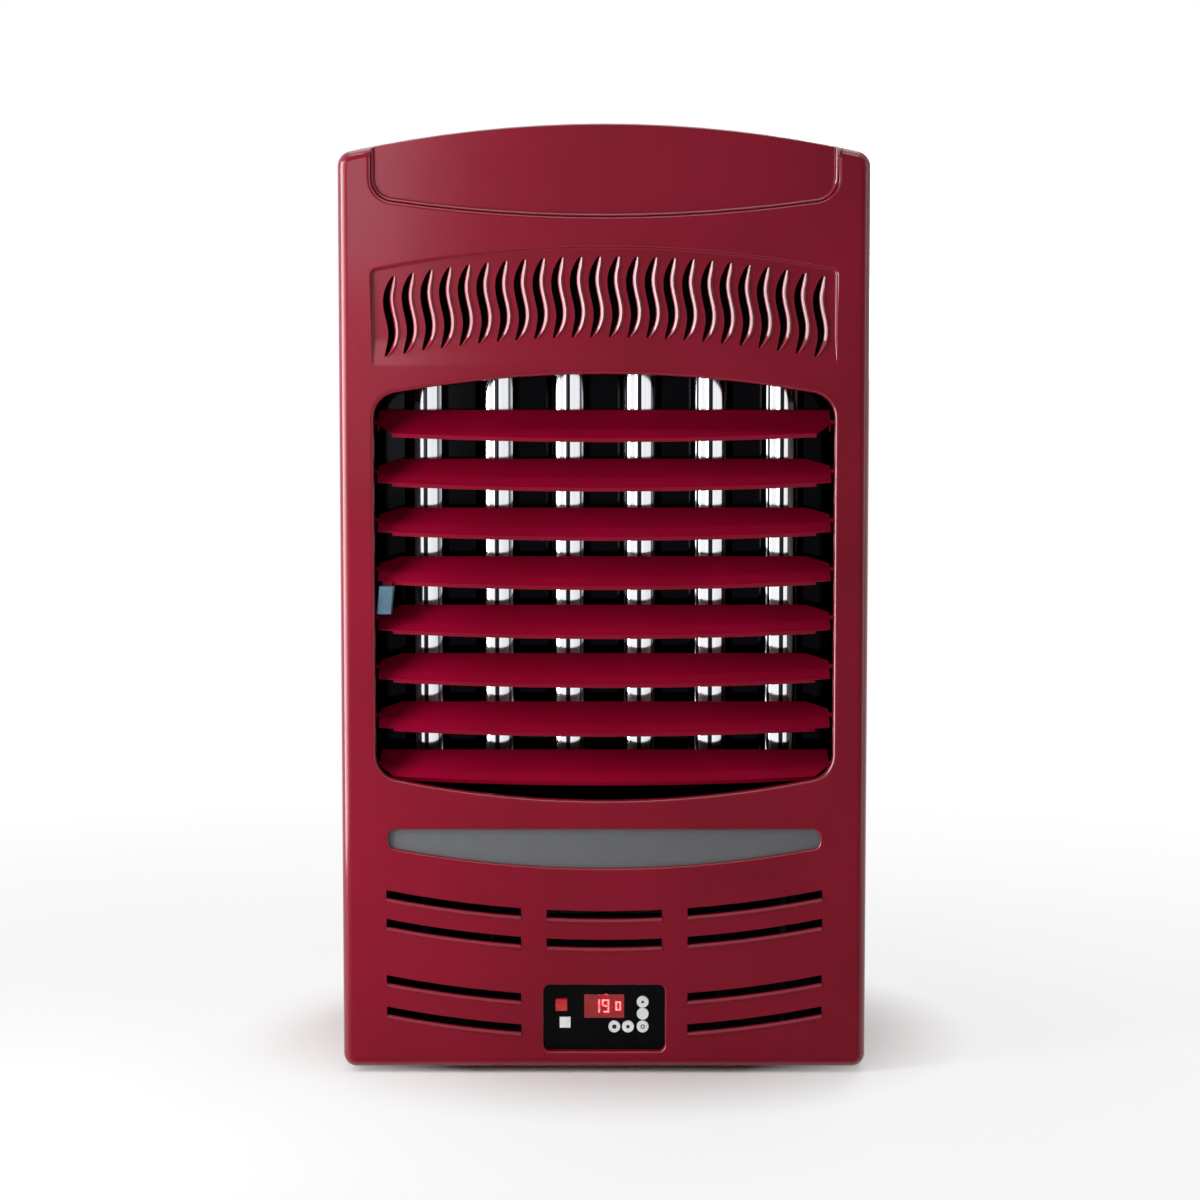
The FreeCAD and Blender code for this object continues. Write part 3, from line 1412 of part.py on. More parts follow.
def rocker_frame():
    """The frame of the power switch: a flanged tube through the fascia with a bearing in each side."""
    body = solid("RockerFrame", "XZ", [square_about(S.rocker_x, S.rocker_z, FRAME_HALF_X, FRAME_HALF_Z)],
                 CONTROL_Y - S.frame_lip / 2, S.frame_deep)
    pad(body, "XZ", [square_about(S.rocker_x, S.rocker_z, FRAME_HALF_X + S.frame_lip,
                                  FRAME_HALF_Z + S.frame_lip)], CONTROL_Y - S.frame_lip, S.frame_lip)
    pocket(body, "XZ", [square_about(S.rocker_x, S.rocker_z, FRAME_HALF_X - S.frame_wall,
                                     FRAME_HALF_Z - S.frame_wall)], CONTROL_Y - S.frame_lip * 2,
           S.frame_deep)
    pocket(body, "YZ", [(ROCKER_Y, S.rocker_z, S.rocker_pin_radius + S.pin_play)],
           S.rocker_x - FRAME_HALF_X - S.frame_lip, FRAME_HALF_X * 2 + S.frame_lip * 2)
    return keep(body, "rocker_frame")


def power_rocker():
    """The rocker: two faces that meet in a shallow valley over a pivot pin, one side pressed in."""
    reach = S.rocker_radius
    front = reach * S.rocker_front_share
    top_z = root(reach * reach - front * front)
    back = reach * S.rocker_back_share
    back_z = root(reach * reach - back * back)
    valley = front - top_z * sine(S.rocker_angle) / cosine(S.rocker_angle)
    outline = [(-front, -top_z), (-valley, ZERO), (-front, top_z, -reach), (back, back_z),
               (back, -back_z, -reach)]
    half = S.rocker_wide / 2
    body = solid("PowerRocker", "YZ", [list(reversed_loop(outline))], -half, S.rocker_wide)
    pin = half + S.frame_wall
    pad(body, "YZ", [(ZERO, ZERO, S.rocker_pin_radius)], -pin, pin * 2)
    place(body, S.rocker_x, ROCKER_Y, S.rocker_z, (1, 0, 0), S.rocker_angle)
    return keep(body, "power_rocker")


def reversed_loop(outline):
    """The same outline the other way round, with each arc on its own edge."""
    count = len(outline)
    turned = []
    for index in range(count, 0, -1):
        corner = outline[index % count]
        before = outline[index - 1]
        if len(before) == 3:
            turned.append((corner[0], corner[1], -before[2]))
        else:
            turned.append((corner[0], corner[1]))
    return turned


def build():
    """Make every sub-part, from the casing inwards."""
    front_panel()
    side_panel(-1, "side_panel_left")
    side_panel(1, "side_panel_right")
    top_cover()
    back_panel()
    base_tray()
    rubber_feet()
    louvre_bracket(-1, "louvre_bracket_left")
    louvre_bracket(1, "louvre_bracket_right")
    for index in range(SLAT_COUNT):
        louvre_slat(index)
    louvre_grip()
    tie_bar()
    reflector()
    combustion_chamber()
    flue_collar()
    chamber_legs()
    reflector_brackets()
    burner_tube()
    burner_brackets()
    gas_injector()
    probe_holder()
    probe(-S.probe_x, S.electrode_long, "ignition_electrode")
    probe(S.probe_x, S.sensor_long, "flame_sensor")
    gas_valve()
    solenoid_coils()
    valve_bracket()
    gas_inlet_pipe()
    manifold_pipe()
    cable_gland()
    window_plate()
    plate_clips()
    control_fascia()
    control_housing()
    circuit_board()
    display_window_and_module()
    display_digits()
    for number, (x, z) in enumerate(ROUND_BUTTONS, start=1):
        round_button(number, x, z)
    square_button()
    tact_switches()
    rocker_frame()
    power_rocker()


def check_and_export():
    """Stop on a failed object, then write each sub-part to its own file."""
    doc.recompute()
    for item in doc.Objects:
        if "Invalid" in item.State or "Error" in item.State:
            owners = [owner.Label for owner in item.InListRecursive]
            raise RuntimeError("failed object: %s in %s" % (item.Label, owners))
    for made in POCKETS:
        if made.Shape.Volume >= made.BaseFeature.Shape.Volume:
            raise RuntimeError("a pocket cut nothing: " + made.Label)
    os.makedirs("parts", exist_ok=True)
    for piece in KEPT:
        if piece.Shape.isNull() or not piece.Shape.isValid() or not piece.Shape.Solids:
            raise RuntimeError("bad shape: " + piece.Label)
        piece.Shape.exportStep("parts/%s.step" % piece.Label)


build()
check_and_export()
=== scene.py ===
# %% [markdown]
# # A gas heater, dressed for a photograph
#
# The heater arrives from CAD as a set of plain sheet-metal and plastic parts. This file gives them
# their finishes, adds the small things that a maker presses, screws or prints on last, and sets up the
# studio. The CAD parts are never moved: each one already has its place in its own mesh.

# %% Load the frame
import json
import math

import bmesh
import bpy
from mathutils import Matrix, Vector

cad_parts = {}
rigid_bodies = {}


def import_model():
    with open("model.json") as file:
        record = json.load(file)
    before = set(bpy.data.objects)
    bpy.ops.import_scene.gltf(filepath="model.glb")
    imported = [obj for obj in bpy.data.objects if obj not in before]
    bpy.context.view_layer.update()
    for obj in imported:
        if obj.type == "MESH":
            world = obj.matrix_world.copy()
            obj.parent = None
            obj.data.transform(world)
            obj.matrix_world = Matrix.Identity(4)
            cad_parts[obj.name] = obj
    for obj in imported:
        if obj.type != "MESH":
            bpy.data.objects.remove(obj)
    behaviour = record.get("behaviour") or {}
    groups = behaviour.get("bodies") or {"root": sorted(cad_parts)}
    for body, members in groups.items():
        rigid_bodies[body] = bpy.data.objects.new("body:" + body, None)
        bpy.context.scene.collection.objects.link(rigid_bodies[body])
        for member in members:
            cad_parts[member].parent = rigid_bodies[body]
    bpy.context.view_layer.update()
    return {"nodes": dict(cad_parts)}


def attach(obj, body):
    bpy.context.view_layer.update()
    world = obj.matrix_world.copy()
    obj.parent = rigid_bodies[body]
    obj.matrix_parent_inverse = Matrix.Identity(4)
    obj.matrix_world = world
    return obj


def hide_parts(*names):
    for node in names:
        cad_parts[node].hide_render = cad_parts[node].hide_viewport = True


for leftover in list(bpy.data.objects):
    bpy.data.objects.remove(leftover)
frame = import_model()
NODES = frame["nodes"]
MM = 0.001

# %% [markdown]
# ## The camera
#
# A long lens from about three metres keeps the sides of a casing nearly parallel, as in a catalogue
# picture. The camera stands a little above the middle of the heater and looks slightly down, so the
# bottom of the front comes out a little narrower than the top.

# %% Camera
CAMERA_PLACE = Vector((-0.0045, -3.21, 0.75))
CAMERA_PITCH = math.radians(4.58)
LENS_MM, SENSOR_MM = 85.3, 36.0

camera = bpy.data.objects.new("camera", bpy.data.cameras.new("camera"))
camera.data.lens, camera.data.sensor_width = LENS_MM, SENSOR_MM
camera.location = CAMERA_PLACE
camera.rotation_euler = (math.pi / 2 - CAMERA_PITCH, 0.0, 0.0)
bpy.context.scene.collection.objects.link(camera)
bpy.context.scene.camera = camera
print("camera at", [round(v, 3) for v in CAMERA_PLACE], "with a lens of", LENS_MM, "mm")

# %% [markdown]
# ## Colours and nodes
#
# Colours are written as they look on a screen, in sRGB hex, and one function turns them to the linear
# values that a renderer adds up. One more function adds any node with its settings and its links, and
# gives a ramp its stops. A third starts a material: every pattern in this file reads Object
# coordinates, which are in metres, so a pattern's size can be a real size.


# %% A colour, a node, a material
def colour(code):
    """A hex sRGB colour as linear RGBA."""
    parts = [int(code[k:k + 2], 16) / 255 for k in (1, 3, 5)]
    return tuple(p / 12.92 if p <= 0.04045 else ((p + 0.055) / 1.055) ** 2.4 for p in parts) + (1.0,)


def add(tree, kind, inputs=None, stops=(), **settings):
    """One node: its settings, a value or a link for each named or numbered input, and a ramp's stops."""
    node = tree.nodes.new(kind)
    for name, value in settings.items():
        setattr(node, name, value)
    for name, value in (inputs or {}).items():
        if isinstance(value, bpy.types.NodeSocket):
            tree.links.new(value, node.inputs[name])
        else:
            node.inputs[name].default_value = value
    if stops:
        ramp = node.color_ramp.elements
        ramp[0].position, ramp[1].position = stops[0][0], stops[-1][0]
        for at, _ in stops[1:-1]:
            ramp.new(at)
        for stop, (_, code) in zip(ramp, stops):
            stop.color = colour(code)
    return node


def start(name, **values):
    """A new material with its shader, and the Object coordinates in metres that its pattern reads."""
    material = bpy.data.materials.new(name)
    material.use_nodes = True
    tree = material.node_tree
    tree.nodes.clear()
    shader = add(tree, "ShaderNodeBsdfPrincipled", {key.replace("_", " "): v for key, v in values.items()})
    add(tree, "ShaderNodeOutputMaterial", {"Surface": shader.outputs["BSDF"]})
    place = add(tree, "ShaderNodeTexCoord").outputs["Object"]
    return material, tree, shader, place


def plug(tree, shader, **sockets):
    """Links into the shader, by socket name with _ for a space."""
    for name, socket in sockets.items():
        tree.links.new(socket, shader.inputs[name.replace("_", " ")])


print("a mid grey is written #808080 and adds up as", round(colour("#808080")[0], 3))

# %% [markdown]
# ## What nearly every finish shares
#
# No real surface is one flat colour. Its shade drifts in patches, its gloss varies with its grain, and
# the grain itself stands up by a few hundredths of a millimetre. One function links these three into
# a shader, each from a pattern of blotches whose size is given in millimetres. The finest real
# patterns, such as the grain of a mould or the lines of a polishing wheel, are a tenth or a few tenths
# of a millimetre wide. They wouldn't show at this distance, so they are drawn about 1 mm wide.


# %% Patterns and what they do
def blotches(tree, place, size_mm, detail=2.0, stretch=(1.0, 1.0, 1.0)):
    """A pattern of blotches about size_mm across, longer where stretch is under 1."""
    spread = add(tree, "ShaderNodeMapping", {"Vector": place, "Scale": stretch})
    made = add(tree, "ShaderNodeTexNoise", {"Vector": spread.outputs["Vector"], "Scale": 1.0 / (size_mm * MM),
                                            "Detail": detail})
    return made.outputs["Fac"]


def dress(tree, shader, tint=None, gloss=None, relief=None, span=(0.3, 0.7)):
    """Links a shader's colour, gloss and relief, each to a pattern.

    tint is a pattern and two colours, which change over the span of the pattern; gloss is a pattern
    and the roughness at its two ends; relief is a pattern, its height in mm and its strength.
    """
    if tint:
        pattern, low, high = tint
        ramp = add(tree, "ShaderNodeValToRGB", {"Fac": pattern}, stops=((span[0], low), (span[1], high)))
        plug(tree, shader, Base_Color=ramp.outputs["Color"])
    if gloss:
        pattern, low, high = gloss
        spread = add(tree, "ShaderNodeMapRange", {"Value": pattern, "To Min": low, "To Max": high})
        plug(tree, shader, Roughness=spread.outputs["Result"])
    if relief:
        pattern, height_mm, strength = relief
        bump = add(tree, "ShaderNodeBump", {"Height": pattern, "Distance": height_mm * MM, "Strength": strength})
        plug(tree, shader, Normal=bump.outputs["Normal"])


def turned_back(tree):
    """How far a surface turns to the back: the Y part of its normal, from -1 on the front to 1."""
    normal = add(tree, "ShaderNodeTexCoord").outputs["Normal"]
    return add(tree, "ShaderNodeSeparateXYZ", {"Vector": normal}).outputs["Y"]


print("a blotch of 25 mm is a noise of scale", round(1.0 / (25.0 * MM), 1))

# %% [markdown]
# ## Enamel
#
# The casing is deep-drawn steel with a stoved burgundy enamel. Enamel is a pigment under glass: the
# colour lies below a clear, hard skin, so the shader has a coat over a softer base. The skin isn't
# flat: it has a faint orange peel, about 2 mm across, which breaks up a reflection on it. It also
# gathers on the bends, where the wet enamel draws together, and so the rolled edges shine while the
# flats stay deep red. The bends are the places whose normal is halfway between the front and a side,
# so the coat's weight follows how near the normal's Y part is to one half. The slats are sprayed
# thinner, and more crimson.

# %% Enamel
ENAMEL_DARK, ENAMEL_LIGHT = "#7A0820", "#860B27"
SLAT_DARK, SLAT_LIGHT = "#840125", "#96032D"
BASE_GLOSS, SKIN_ROUGH = 0.06, 0.12
DRIFT_MM, CLOUD_MM, PEEL_MM, PEEL_TALL_MM = 140.0, 25.0, 2.2, 0.02
HALFWAY, STILL_FLAT, FULL_BEND = 0.5, 0.45, 0.3


def enamel(name, dark, light, skin_on_flats, skin_on_bends):
    """Stoved enamel on pressed steel: slow drifts of shade, orange peel, and a skin thickest on the bends."""
    material, tree, shader, place = start(name, Specular_IOR_Level=BASE_GLOSS, Coat_Roughness=SKIN_ROUGH)
    facing = add(tree, "ShaderNodeMath", {0: turned_back(tree)}, operation="ABSOLUTE")
    past = add(tree, "ShaderNodeMath", {0: facing.outputs["Value"], 1: HALFWAY}, operation="SUBTRACT")
    off_bend = add(tree, "ShaderNodeMath", {0: past.outputs["Value"]}, operation="ABSOLUTE")
    skin = add(tree, "ShaderNodeMapRange", {"Value": off_bend.outputs["Value"], "From Min": STILL_FLAT,
                                            "From Max": FULL_BEND, "To Min": skin_on_flats,
                                            "To Max": skin_on_bends})
    plug(tree, shader, Coat_Weight=skin.outputs["Result"])
    dress(tree, shader, tint=(blotches(tree, place, DRIFT_MM, 3.0), dark, light),
          gloss=(blotches(tree, place, CLOUD_MM, 4.0), 0.36, 0.5),
          relief=(blotches(tree, place, PEEL_MM, 1.0), PEEL_TALL_MM, 0.35))
    return material


CASING_ENAMEL = enamel("stoved_enamel_burgundy", ENAMEL_DARK, ENAMEL_LIGHT, 0.12, 1.0)
SLAT_ENAMEL = enamel("stoved_enamel_crimson", SLAT_DARK, SLAT_LIGHT, 0.05, 0.15)
print("enamels:", CASING_ENAMEL.name, "and", SLAT_ENAMEL.name)

# %% [markdown]
# ## Zinc
#
# Galvanised sheet shows spangle: flat crystals of zinc, each with its own shade, 8 to 15 mm across.
# Voronoi cells are just that, and one part of a cell's random colour serves as its shade. The rear
# panel's inner face is painted matt black, as painted shade for the dark inside seen through the slots.
# The panel is one mesh, so a node tells the two faces apart by their normal. A Mix node keeps sockets
# for every kind of value, so the two inputs and the output that serve a number, and those that serve a
# colour, go by their place.

# %% Galvanised sheet
# The black of the inner face is painted shade.
ZINC_DARK, ZINC_LIGHT, INSIDE_PAINTED_SHADE = "#8E9496", "#B4B8BA", "#141313"
SPANGLE_MM = 11.0
ZINC_ROUGH, BLACK_ROUGH = (0.32, 0.5), 0.85
FACES_INSIDE = -0.5
MIX_NUMBERS, MIX_COLOURS = (2, 3, 0), (6, 7, 2)


def zinc(name, black_inside):
    """Hot-dip zinc: flat crystals, each with its own shade and gloss, and painted black shade inside if asked."""
    material, tree, shader, place = start(name, Metallic=1.0)
    cells = add(tree, "ShaderNodeTexVoronoi", {"Vector": place, "Scale": 1.0 / (SPANGLE_MM * MM)}, feature="F1")
    shade = add(tree, "ShaderNodeSeparateColor", {"Color": cells.outputs["Color"]}).outputs["Red"]
    dress(tree, shader, tint=(shade, ZINC_DARK, ZINC_LIGHT), gloss=(shade, *ZINC_ROUGH),
          relief=(blotches(tree, place, 1.2), 0.01, 0.3), span=(0.1, 0.9))
    # The faces turned to the front are painted black: painted shade for the inside of the casing.
    if black_inside:
        outside = add(tree, "ShaderNodeMath", {0: turned_back(tree), 1: FACES_INSIDE},
                      operation="GREATER_THAN").outputs["Value"]
        bare, gloss = [shader.inputs[socket].links[0].from_socket for socket in ("Base Color", "Roughness")]
        low, high, result = MIX_COLOURS
        tint = add(tree, "ShaderNodeMix", {0: outside, low: colour(INSIDE_PAINTED_SHADE), high: bare},
                   data_type="RGBA").outputs[result]
        low, high, result = MIX_NUMBERS
        rough = add(tree, "ShaderNodeMix", {0: outside, low: BLACK_ROUGH, high: gloss}).outputs[result]
        plug(tree, shader, Base_Color=tint, Metallic=outside, Roughness=rough)
    return material


ZINC = zinc("galvanised_sheet", False)
ZINC_PAINTED_SHADE_INSIDE = zinc("zinc_painted_shade_inside", True)
print("zinc:", ZINC.name, "and", ZINC_PAINTED_SHADE_INSIDE.name)

# %% [markdown]
# ## The reflector
#
# The reflector is polished stainless sheet with six upright flutes. In a white studio a plain mirror
# would only show white, so its reflections are painted into its colour. A ramp that repeats with the
# flutes puts a painted highlight on each crest and painted dark reflection between them. Below 0.32 m
# the painted stripes give way to painted dark all over. The faint upright lines of the polishing wheel
# are blotches stretched to fifty times their width.

# %% Fluted stainless
FLUTE_PITCH = 77.2 * MM
# Painted reflections: the bright stops are painted highlights, the dark ones painted dark reflection.
PAINTED_DARK, PAINTED_HIGHLIGHT, PAINTED_DIM_HIGHLIGHT, PAINTED_GREY_SHADE, PAINTED_DEEP_SHADE, PAINTED_SOFT_HIGHLIGHT = "#0A0A0C", "#F4F5F7", "#8C9096", "#2A2A30", "#141418", "#D8DADF"
PAINTED_REFLECTIONS = ((0.0, PAINTED_DARK), (0.28, PAINTED_DARK), (0.285, PAINTED_DIM_HIGHLIGHT), (0.3, PAINTED_DARK), (0.33, PAINTED_DARK), (0.335, PAINTED_HIGHLIGHT),
           (0.46, PAINTED_HIGHLIGHT), (0.465, PAINTED_GREY_SHADE), (0.52, PAINTED_DEEP_SHADE), (0.525, PAINTED_HIGHLIGHT), (0.655, PAINTED_SOFT_HIGHLIGHT),
           (0.66, PAINTED_DARK), (0.69, PAINTED_DIM_HIGHLIGHT), (0.71, PAINTED_DIM_HIGHLIGHT), (0.715, PAINTED_DARK), (1.0, PAINTED_DARK))
# Below these heights the painted stripes fade into the painted dark.
PAINTED_DARK_UP_TO, PAINTED_STRIPES_FROM = 0.318, 0.328
WHEEL_MM, WHEEL_STRETCH = 1.5, (1.0, 1.0, 0.02)


def fluted_stainless():
    """Painted highlights on the crests of a fluted sheet, with painted dark reflection between them."""
    material, tree, shader, place = start("fluted_stainless_painted_reflections", Metallic=1.0)
    axis = add(tree, "ShaderNodeSeparateXYZ", {"Vector": place})
    across = add(tree, "ShaderNodeMath", {0: axis.outputs["X"], 1: FLUTE_PITCH, 2: 0.0}, operation="WRAP")
    share = add(tree, "ShaderNodeMath", {0: across.outputs["Value"], 1: 1.0 / FLUTE_PITCH}, operation="MULTIPLY")
    stripes = add(tree, "ShaderNodeValToRGB", {"Fac": share.outputs["Value"]}, stops=PAINTED_REFLECTIONS)
    height = add(tree, "ShaderNodeMapRange", {"Value": axis.outputs["Z"], "From Min": PAINTED_DARK_UP_TO,
                                              "From Max": PAINTED_STRIPES_FROM})
    low, high, result = MIX_COLOURS
    tint = add(tree, "ShaderNodeMix", {0: height.outputs["Result"], low: colour(PAINTED_DARK),
                                       high: stripes.outputs["Color"]}, data_type="RGBA")
    plug(tree, shader, Base_Color=tint.outputs[result])
    lines = blotches(tree, place, WHEEL_MM, 2.0, WHEEL_STRETCH)
    dress(tree, shader, gloss=(lines, 0.05, 0.14), relief=(lines, 0.004, 0.2))
    return material


MIRROR = fluted_stainless()
print("stripes across a flute of", round(FLUTE_PITCH / MM, 1), "mm:", len(PAINTED_REFLECTIONS))

# %% [markdown]
# ## Coated, turned and cast metal
#
# The chamber and the brackets have a matt black heat-resistant coat, greyed and rusty in patches where
# it is hottest. The brass of the gas train is turned: its tool lines run round it, so its gloss comes
# in fine bands. The valve body is die-cast aluminium, shot-blasted to an even grain that scatters
# light.


# %% Heat-resistant coat, brass and cast aluminium
def heat_black():
    """Matt black heat-resistant coat with rusty patches, and the sandy grain of its pigment."""
    material, tree, shader, place = start("heat_resistant_black", Roughness=0.75)
    dress(tree, shader, tint=(blotches(tree, place, 60.0, 6.0), "#1B1A1A", "#3A312C"),
          relief=(blotches(tree, place, 1.0, 3.0), 0.05, 0.6), span=(0.45, 0.75))
    return material


def turned_brass():
    """Machined brass with fine tool lines."""
    material, tree, shader, place = start("turned_brass", Metallic=1.0)
    lines = blotches(tree, place, 0.8, 2.0, (1.0, 4.0, 1.0))
    dress(tree, shader, tint=(blotches(tree, place, 12.0), "#B08D48", "#CDAE68"), gloss=(lines, 0.2, 0.38),
          relief=(lines, 0.01, 0.4))
    return material


def die_cast():
    """Die-cast aluminium, shot-blasted: an even fine grain."""
    material, tree, shader, place = start("die_cast_aluminium", Metallic=1.0)
    grain = blotches(tree, place, 0.9, 3.0)
    dress(tree, shader, tint=(blotches(tree, place, 10.0), "#9FA3A6", "#B9BCBE"), gloss=(grain, 0.42, 0.6),
          relief=(grain, 0.03, 0.5))
    return material


HEAT_BLACK, BRASS, CAST = heat_black(), turned_brass(), die_cast()
print("metals:", ", ".join(metal.name for metal in (HEAT_BLACK, BRASS, CAST)))

# %% [markdown]
# ## Mouldings
#
# Moulded ABS takes the grain of its tool, which dulls it a little unevenly. The control plate is
# acrylic with a polished face, so its grain is only a slight waviness. The grey plate is lacquered,
# the feet are rubber, and the insulators of the probes are glazed ceramic: each is the same recipe
# with its own grain and gloss.


# %% Plastics, lacquer, rubber and ceramic
def moulded(name, dark, light, rough, grain_mm=0.8, height_mm=0.02, **values):
    """A moulding: slight shade drift, and the grain of the tool in its gloss and its relief."""
    material, tree, shader, place = start(name, IOR=1.5, **values)
    grain = blotches(tree, place, grain_mm)
    dress(tree, shader, tint=(blotches(tree, place, 14.0, 3.0), dark, light),
          gloss=(grain, rough * 0.85, rough * 1.15), relief=(grain, height_mm, 0.4))
    return material


BLACK_ABS = moulded("moulded_black_abs", "#0B0B0C", "#141416", 0.55, Specular_IOR_Level=0.3)
GLOSS_BLACK = moulded("gloss_black_acrylic", "#020203", "#050507", 0.2, 3.0, 0.005, Specular_IOR_Level=0.05)
WHITE_ABS = moulded("moulded_white_abs", "#E6E8EE", "#F2F4F8", 0.32)
BLUE_ABS = moulded("moulded_pale_blue_abs", "#33566B", "#3F667D", 0.38)
RED_ABS = moulded("moulded_red_abs", "#C4141E", "#D81E28", 0.28)
GREY_SATIN = moulded("satin_grey_lacquer", "#606265", "#646669", 0.36, 1.2, 0.005, Specular_IOR_Level=0.3)
RUBBER = moulded("black_rubber", "#121212", "#1D1C1C", 0.8, 0.6, 0.05)
CERAMIC = moulded("glazed_ceramic", "#D8D3C4", "#E9E5DA", 0.18, 5.0, 0.02)
print("materials so far:", len(bpy.data.materials))

# %% [markdown]
# ## The board and the display
#
# The circuit board is green solder mask over tracks, so a brick pattern of square cells with thin gaps
# gives its relief. The display is a clear red window over bright bars: the window lets light through,
# and has a faint painted glow of its own, for the light of the bars that reaches its back.

# %% Board, window and segments
TRACK_MM, TRACK_GAP = 9.0, 0.08
# The window's glow is painted light; the segments are the display's own light.
WINDOW_PAINTED_GLOW, SEGMENT_GLOW = 0.35, 25.0


def solder_mask():
    """Green circuit board: tracks under the mask, as square cells with thin gaps."""
    material, tree, shader, place = start("solder_masked_board", Roughness=0.3, IOR=1.5)
    turned = add(tree, "ShaderNodeMapping", {"Vector": place, "Rotation": (math.pi / 2, 0.0, 0.0)})
    tracks = add(tree, "ShaderNodeTexBrick", {"Vector": turned.outputs["Vector"], "Scale": 1.0 / (TRACK_MM * MM),
                                              "Mortar Size": TRACK_GAP, "Color1": colour("#12502B"),
                                              "Color2": colour("#17633A"), "Mortar": colour("#0C3A1F")})
    plug(tree, shader, Base_Color=tracks.outputs["Color"])
    dress(tree, shader, relief=(tracks.outputs["Fac"], 0.03, 0.4))
    return material


def red_window():
    """Clear red acrylic over the digits, with a faint painted glow for the light behind it."""
    material, tree, shader, place = start("clear_red_acrylic", Roughness=0.05, IOR=1.49, Transmission_Weight=0.9,
                                          Specular_IOR_Level=0.05, Emission_Strength=WINDOW_PAINTED_GLOW)
    patches = blotches(tree, place, 8.0)
    dress(tree, shader, tint=(patches, "#7C0408", "#94080C"))
    glow = add(tree, "ShaderNodeValToRGB", {"Fac": patches}, stops=((0.3, "#980006"), (0.7, "#C0020A")))
    plug(tree, shader, Emission_Color=glow.outputs["Color"])
    return material


def lit_segments():
    """Segments of the display, lit from inside, a little uneven along each bar."""
    material, tree, shader, place = start("lit_segments", Roughness=0.4, Emission_Strength=SEGMENT_GLOW)
    light = add(tree, "ShaderNodeValToRGB", {"Fac": blotches(tree, place, 2.0)},
                stops=((0.3, "#FFB8A8"), (0.7, "#FFE6DC"))).outputs["Color"]
    plug(tree, shader, Base_Color=light, Emission_Color=light)
    return material


BOARD, RED_WINDOW, SEGMENTS = solder_mask(), red_window(), lit_segments()
print("display:", RED_WINDOW.name, "over", SEGMENTS.name)

# %% [markdown]
# ## Every part gets its finish
#
# One table says which parts have which finish, as a maker's finishing list does. A CAD part takes its
# material in its own slot, and the list is compared with the parts, so that none is forgotten.

# %% The finishing list
FINISHES = {
    CASING_ENAMEL: ["front_panel", "side_panel_left", "side_panel_right", "top_cover"],
    SLAT_ENAMEL: ["louvre_slat_%d" % (k + 1) for k in range(8)],
    ZINC_PAINTED_SHADE_INSIDE: ["back_panel"],
    ZINC: ["louvre_tie_bar", "probe_holder", "plate_clips", "flue_collar"],
    MIRROR: ["reflector"],
    HEAT_BLACK: ["combustion_chamber", "burner_tube", "chamber_legs", "reflector_brackets", "burner_brackets",
                 "valve_bracket", "base_tray", "louvre_bracket_left", "louvre_bracket_right"],
    BRASS: ["gas_injector", "gas_inlet_pipe", "manifold_pipe"],
    CAST: ["gas_valve"],
    CERAMIC: ["ignition_electrode", "flame_sensor"],
    BLACK_ABS: ["solenoid_coils", "control_housing", "tact_switches", "display_module"],
    GLOSS_BLACK: ["control_fascia", "rocker_frame"],
    BOARD: ["circuit_board"],
    GREY_SATIN: ["window_plate"],
    RED_WINDOW: ["display_window"],
    SEGMENTS: ["display_digits"],
    RED_ABS: ["power_rocker"],
    WHITE_ABS: ["square_button"] + ["round_button_%d" % (k + 1) for k in range(5)],
    BLUE_ABS: ["louvre_grip"],
    RUBBER: ["rubber_feet", "cable_gland"],
}
for material, names in FINISHES.items():
    for name in names:
        NODES[name].data.materials.clear()
        NODES[name].data.materials.append(material)
finished = {name for names in FINISHES.values() for name in names}
print("nodes without a finish:", sorted(set(NODES) - finished))

# %% [markdown]
# ## Soft edges on the pressed front
#
# A press never leaves a knife edge: the sheet flows over the die, so each step has a radius of a few
# millimetres on both sides. The CAD panel has its steps square, and a CAD mesh is loose triangles. So
# the panel is copied, its doubled points are merged and its flat triangles joined, and an edge of the
# copy is then an edge of the real sheet.

# %% Copy the panel
MERGE = 1e-6
FLAT_ANGLE = math.radians(0.5)


def copy_of(name):
    """A CAD part's mesh as a bmesh, with its doubled points merged and its flat faces joined."""
    shape = bmesh.new()
    shape.from_mesh(NODES[name].data)
    bmesh.ops.remove_doubles(shape, verts=shape.verts, dist=MERGE)
    bmesh.ops.dissolve_limit(shape, angle_limit=FLAT_ANGLE, verts=shape.verts, edges=shape.edges)
    return shape


panel = copy_of("front_panel")
print("the panel's copy has", len(panel.verts), "points and", len(panel.faces), "faces")

# %% [markdown]
# ## Steps and air slots
#
# Two kinds of sharp edge run over the front: the steps of the pressing, and the rims of the air slots.
# Both lie between a face that looks to the front and a wall that goes back from it, and the depth of
# the wall tells them apart: only a wall deeper than the sheet is thick belongs to a step. Where the
# panel slopes, a slot's wall looks deeper too, so the slots are also known by their place, within
# SLOTS_HALF of the middle and under SLOTS_TOP. What lies further back than FRONT_DEEP is the side of
# the panel. The rims are kept as closed runs of points, because the lips are made from them later.

# %% Tell the steps from the slots
SHARP = math.radians(35)
SQUARE_ON, UPRIGHT = 0.9, 0.7
FRONT_DEEP = -0.199
CUT_WALL, STEP_WALL = 4.5 * MM, 3.0 * MM
SLOTS_HALF, SLOTS_TOP = 0.24, 0.9


def wall_depth(face):
    """How far a face reaches from front to back."""
    levels = [corner.co.y for corner in face.verts]
    return max(levels) - min(levels)


def is_cut(wall):
    """Whether a wall is the thickness of the sheet at a slot; on the ramp it reaches further back."""
    return wall_depth(wall) < CUT_WALL and all(abs(corner.co.x) < SLOTS_HALF and corner.co.z < SLOTS_TOP
                                               for corner in wall.verts)


def is_step(wall):
    """Whether a wall belongs to a pressed step or to a window's flange."""
    return wall_depth(wall) > STEP_WALL and not is_cut(wall)


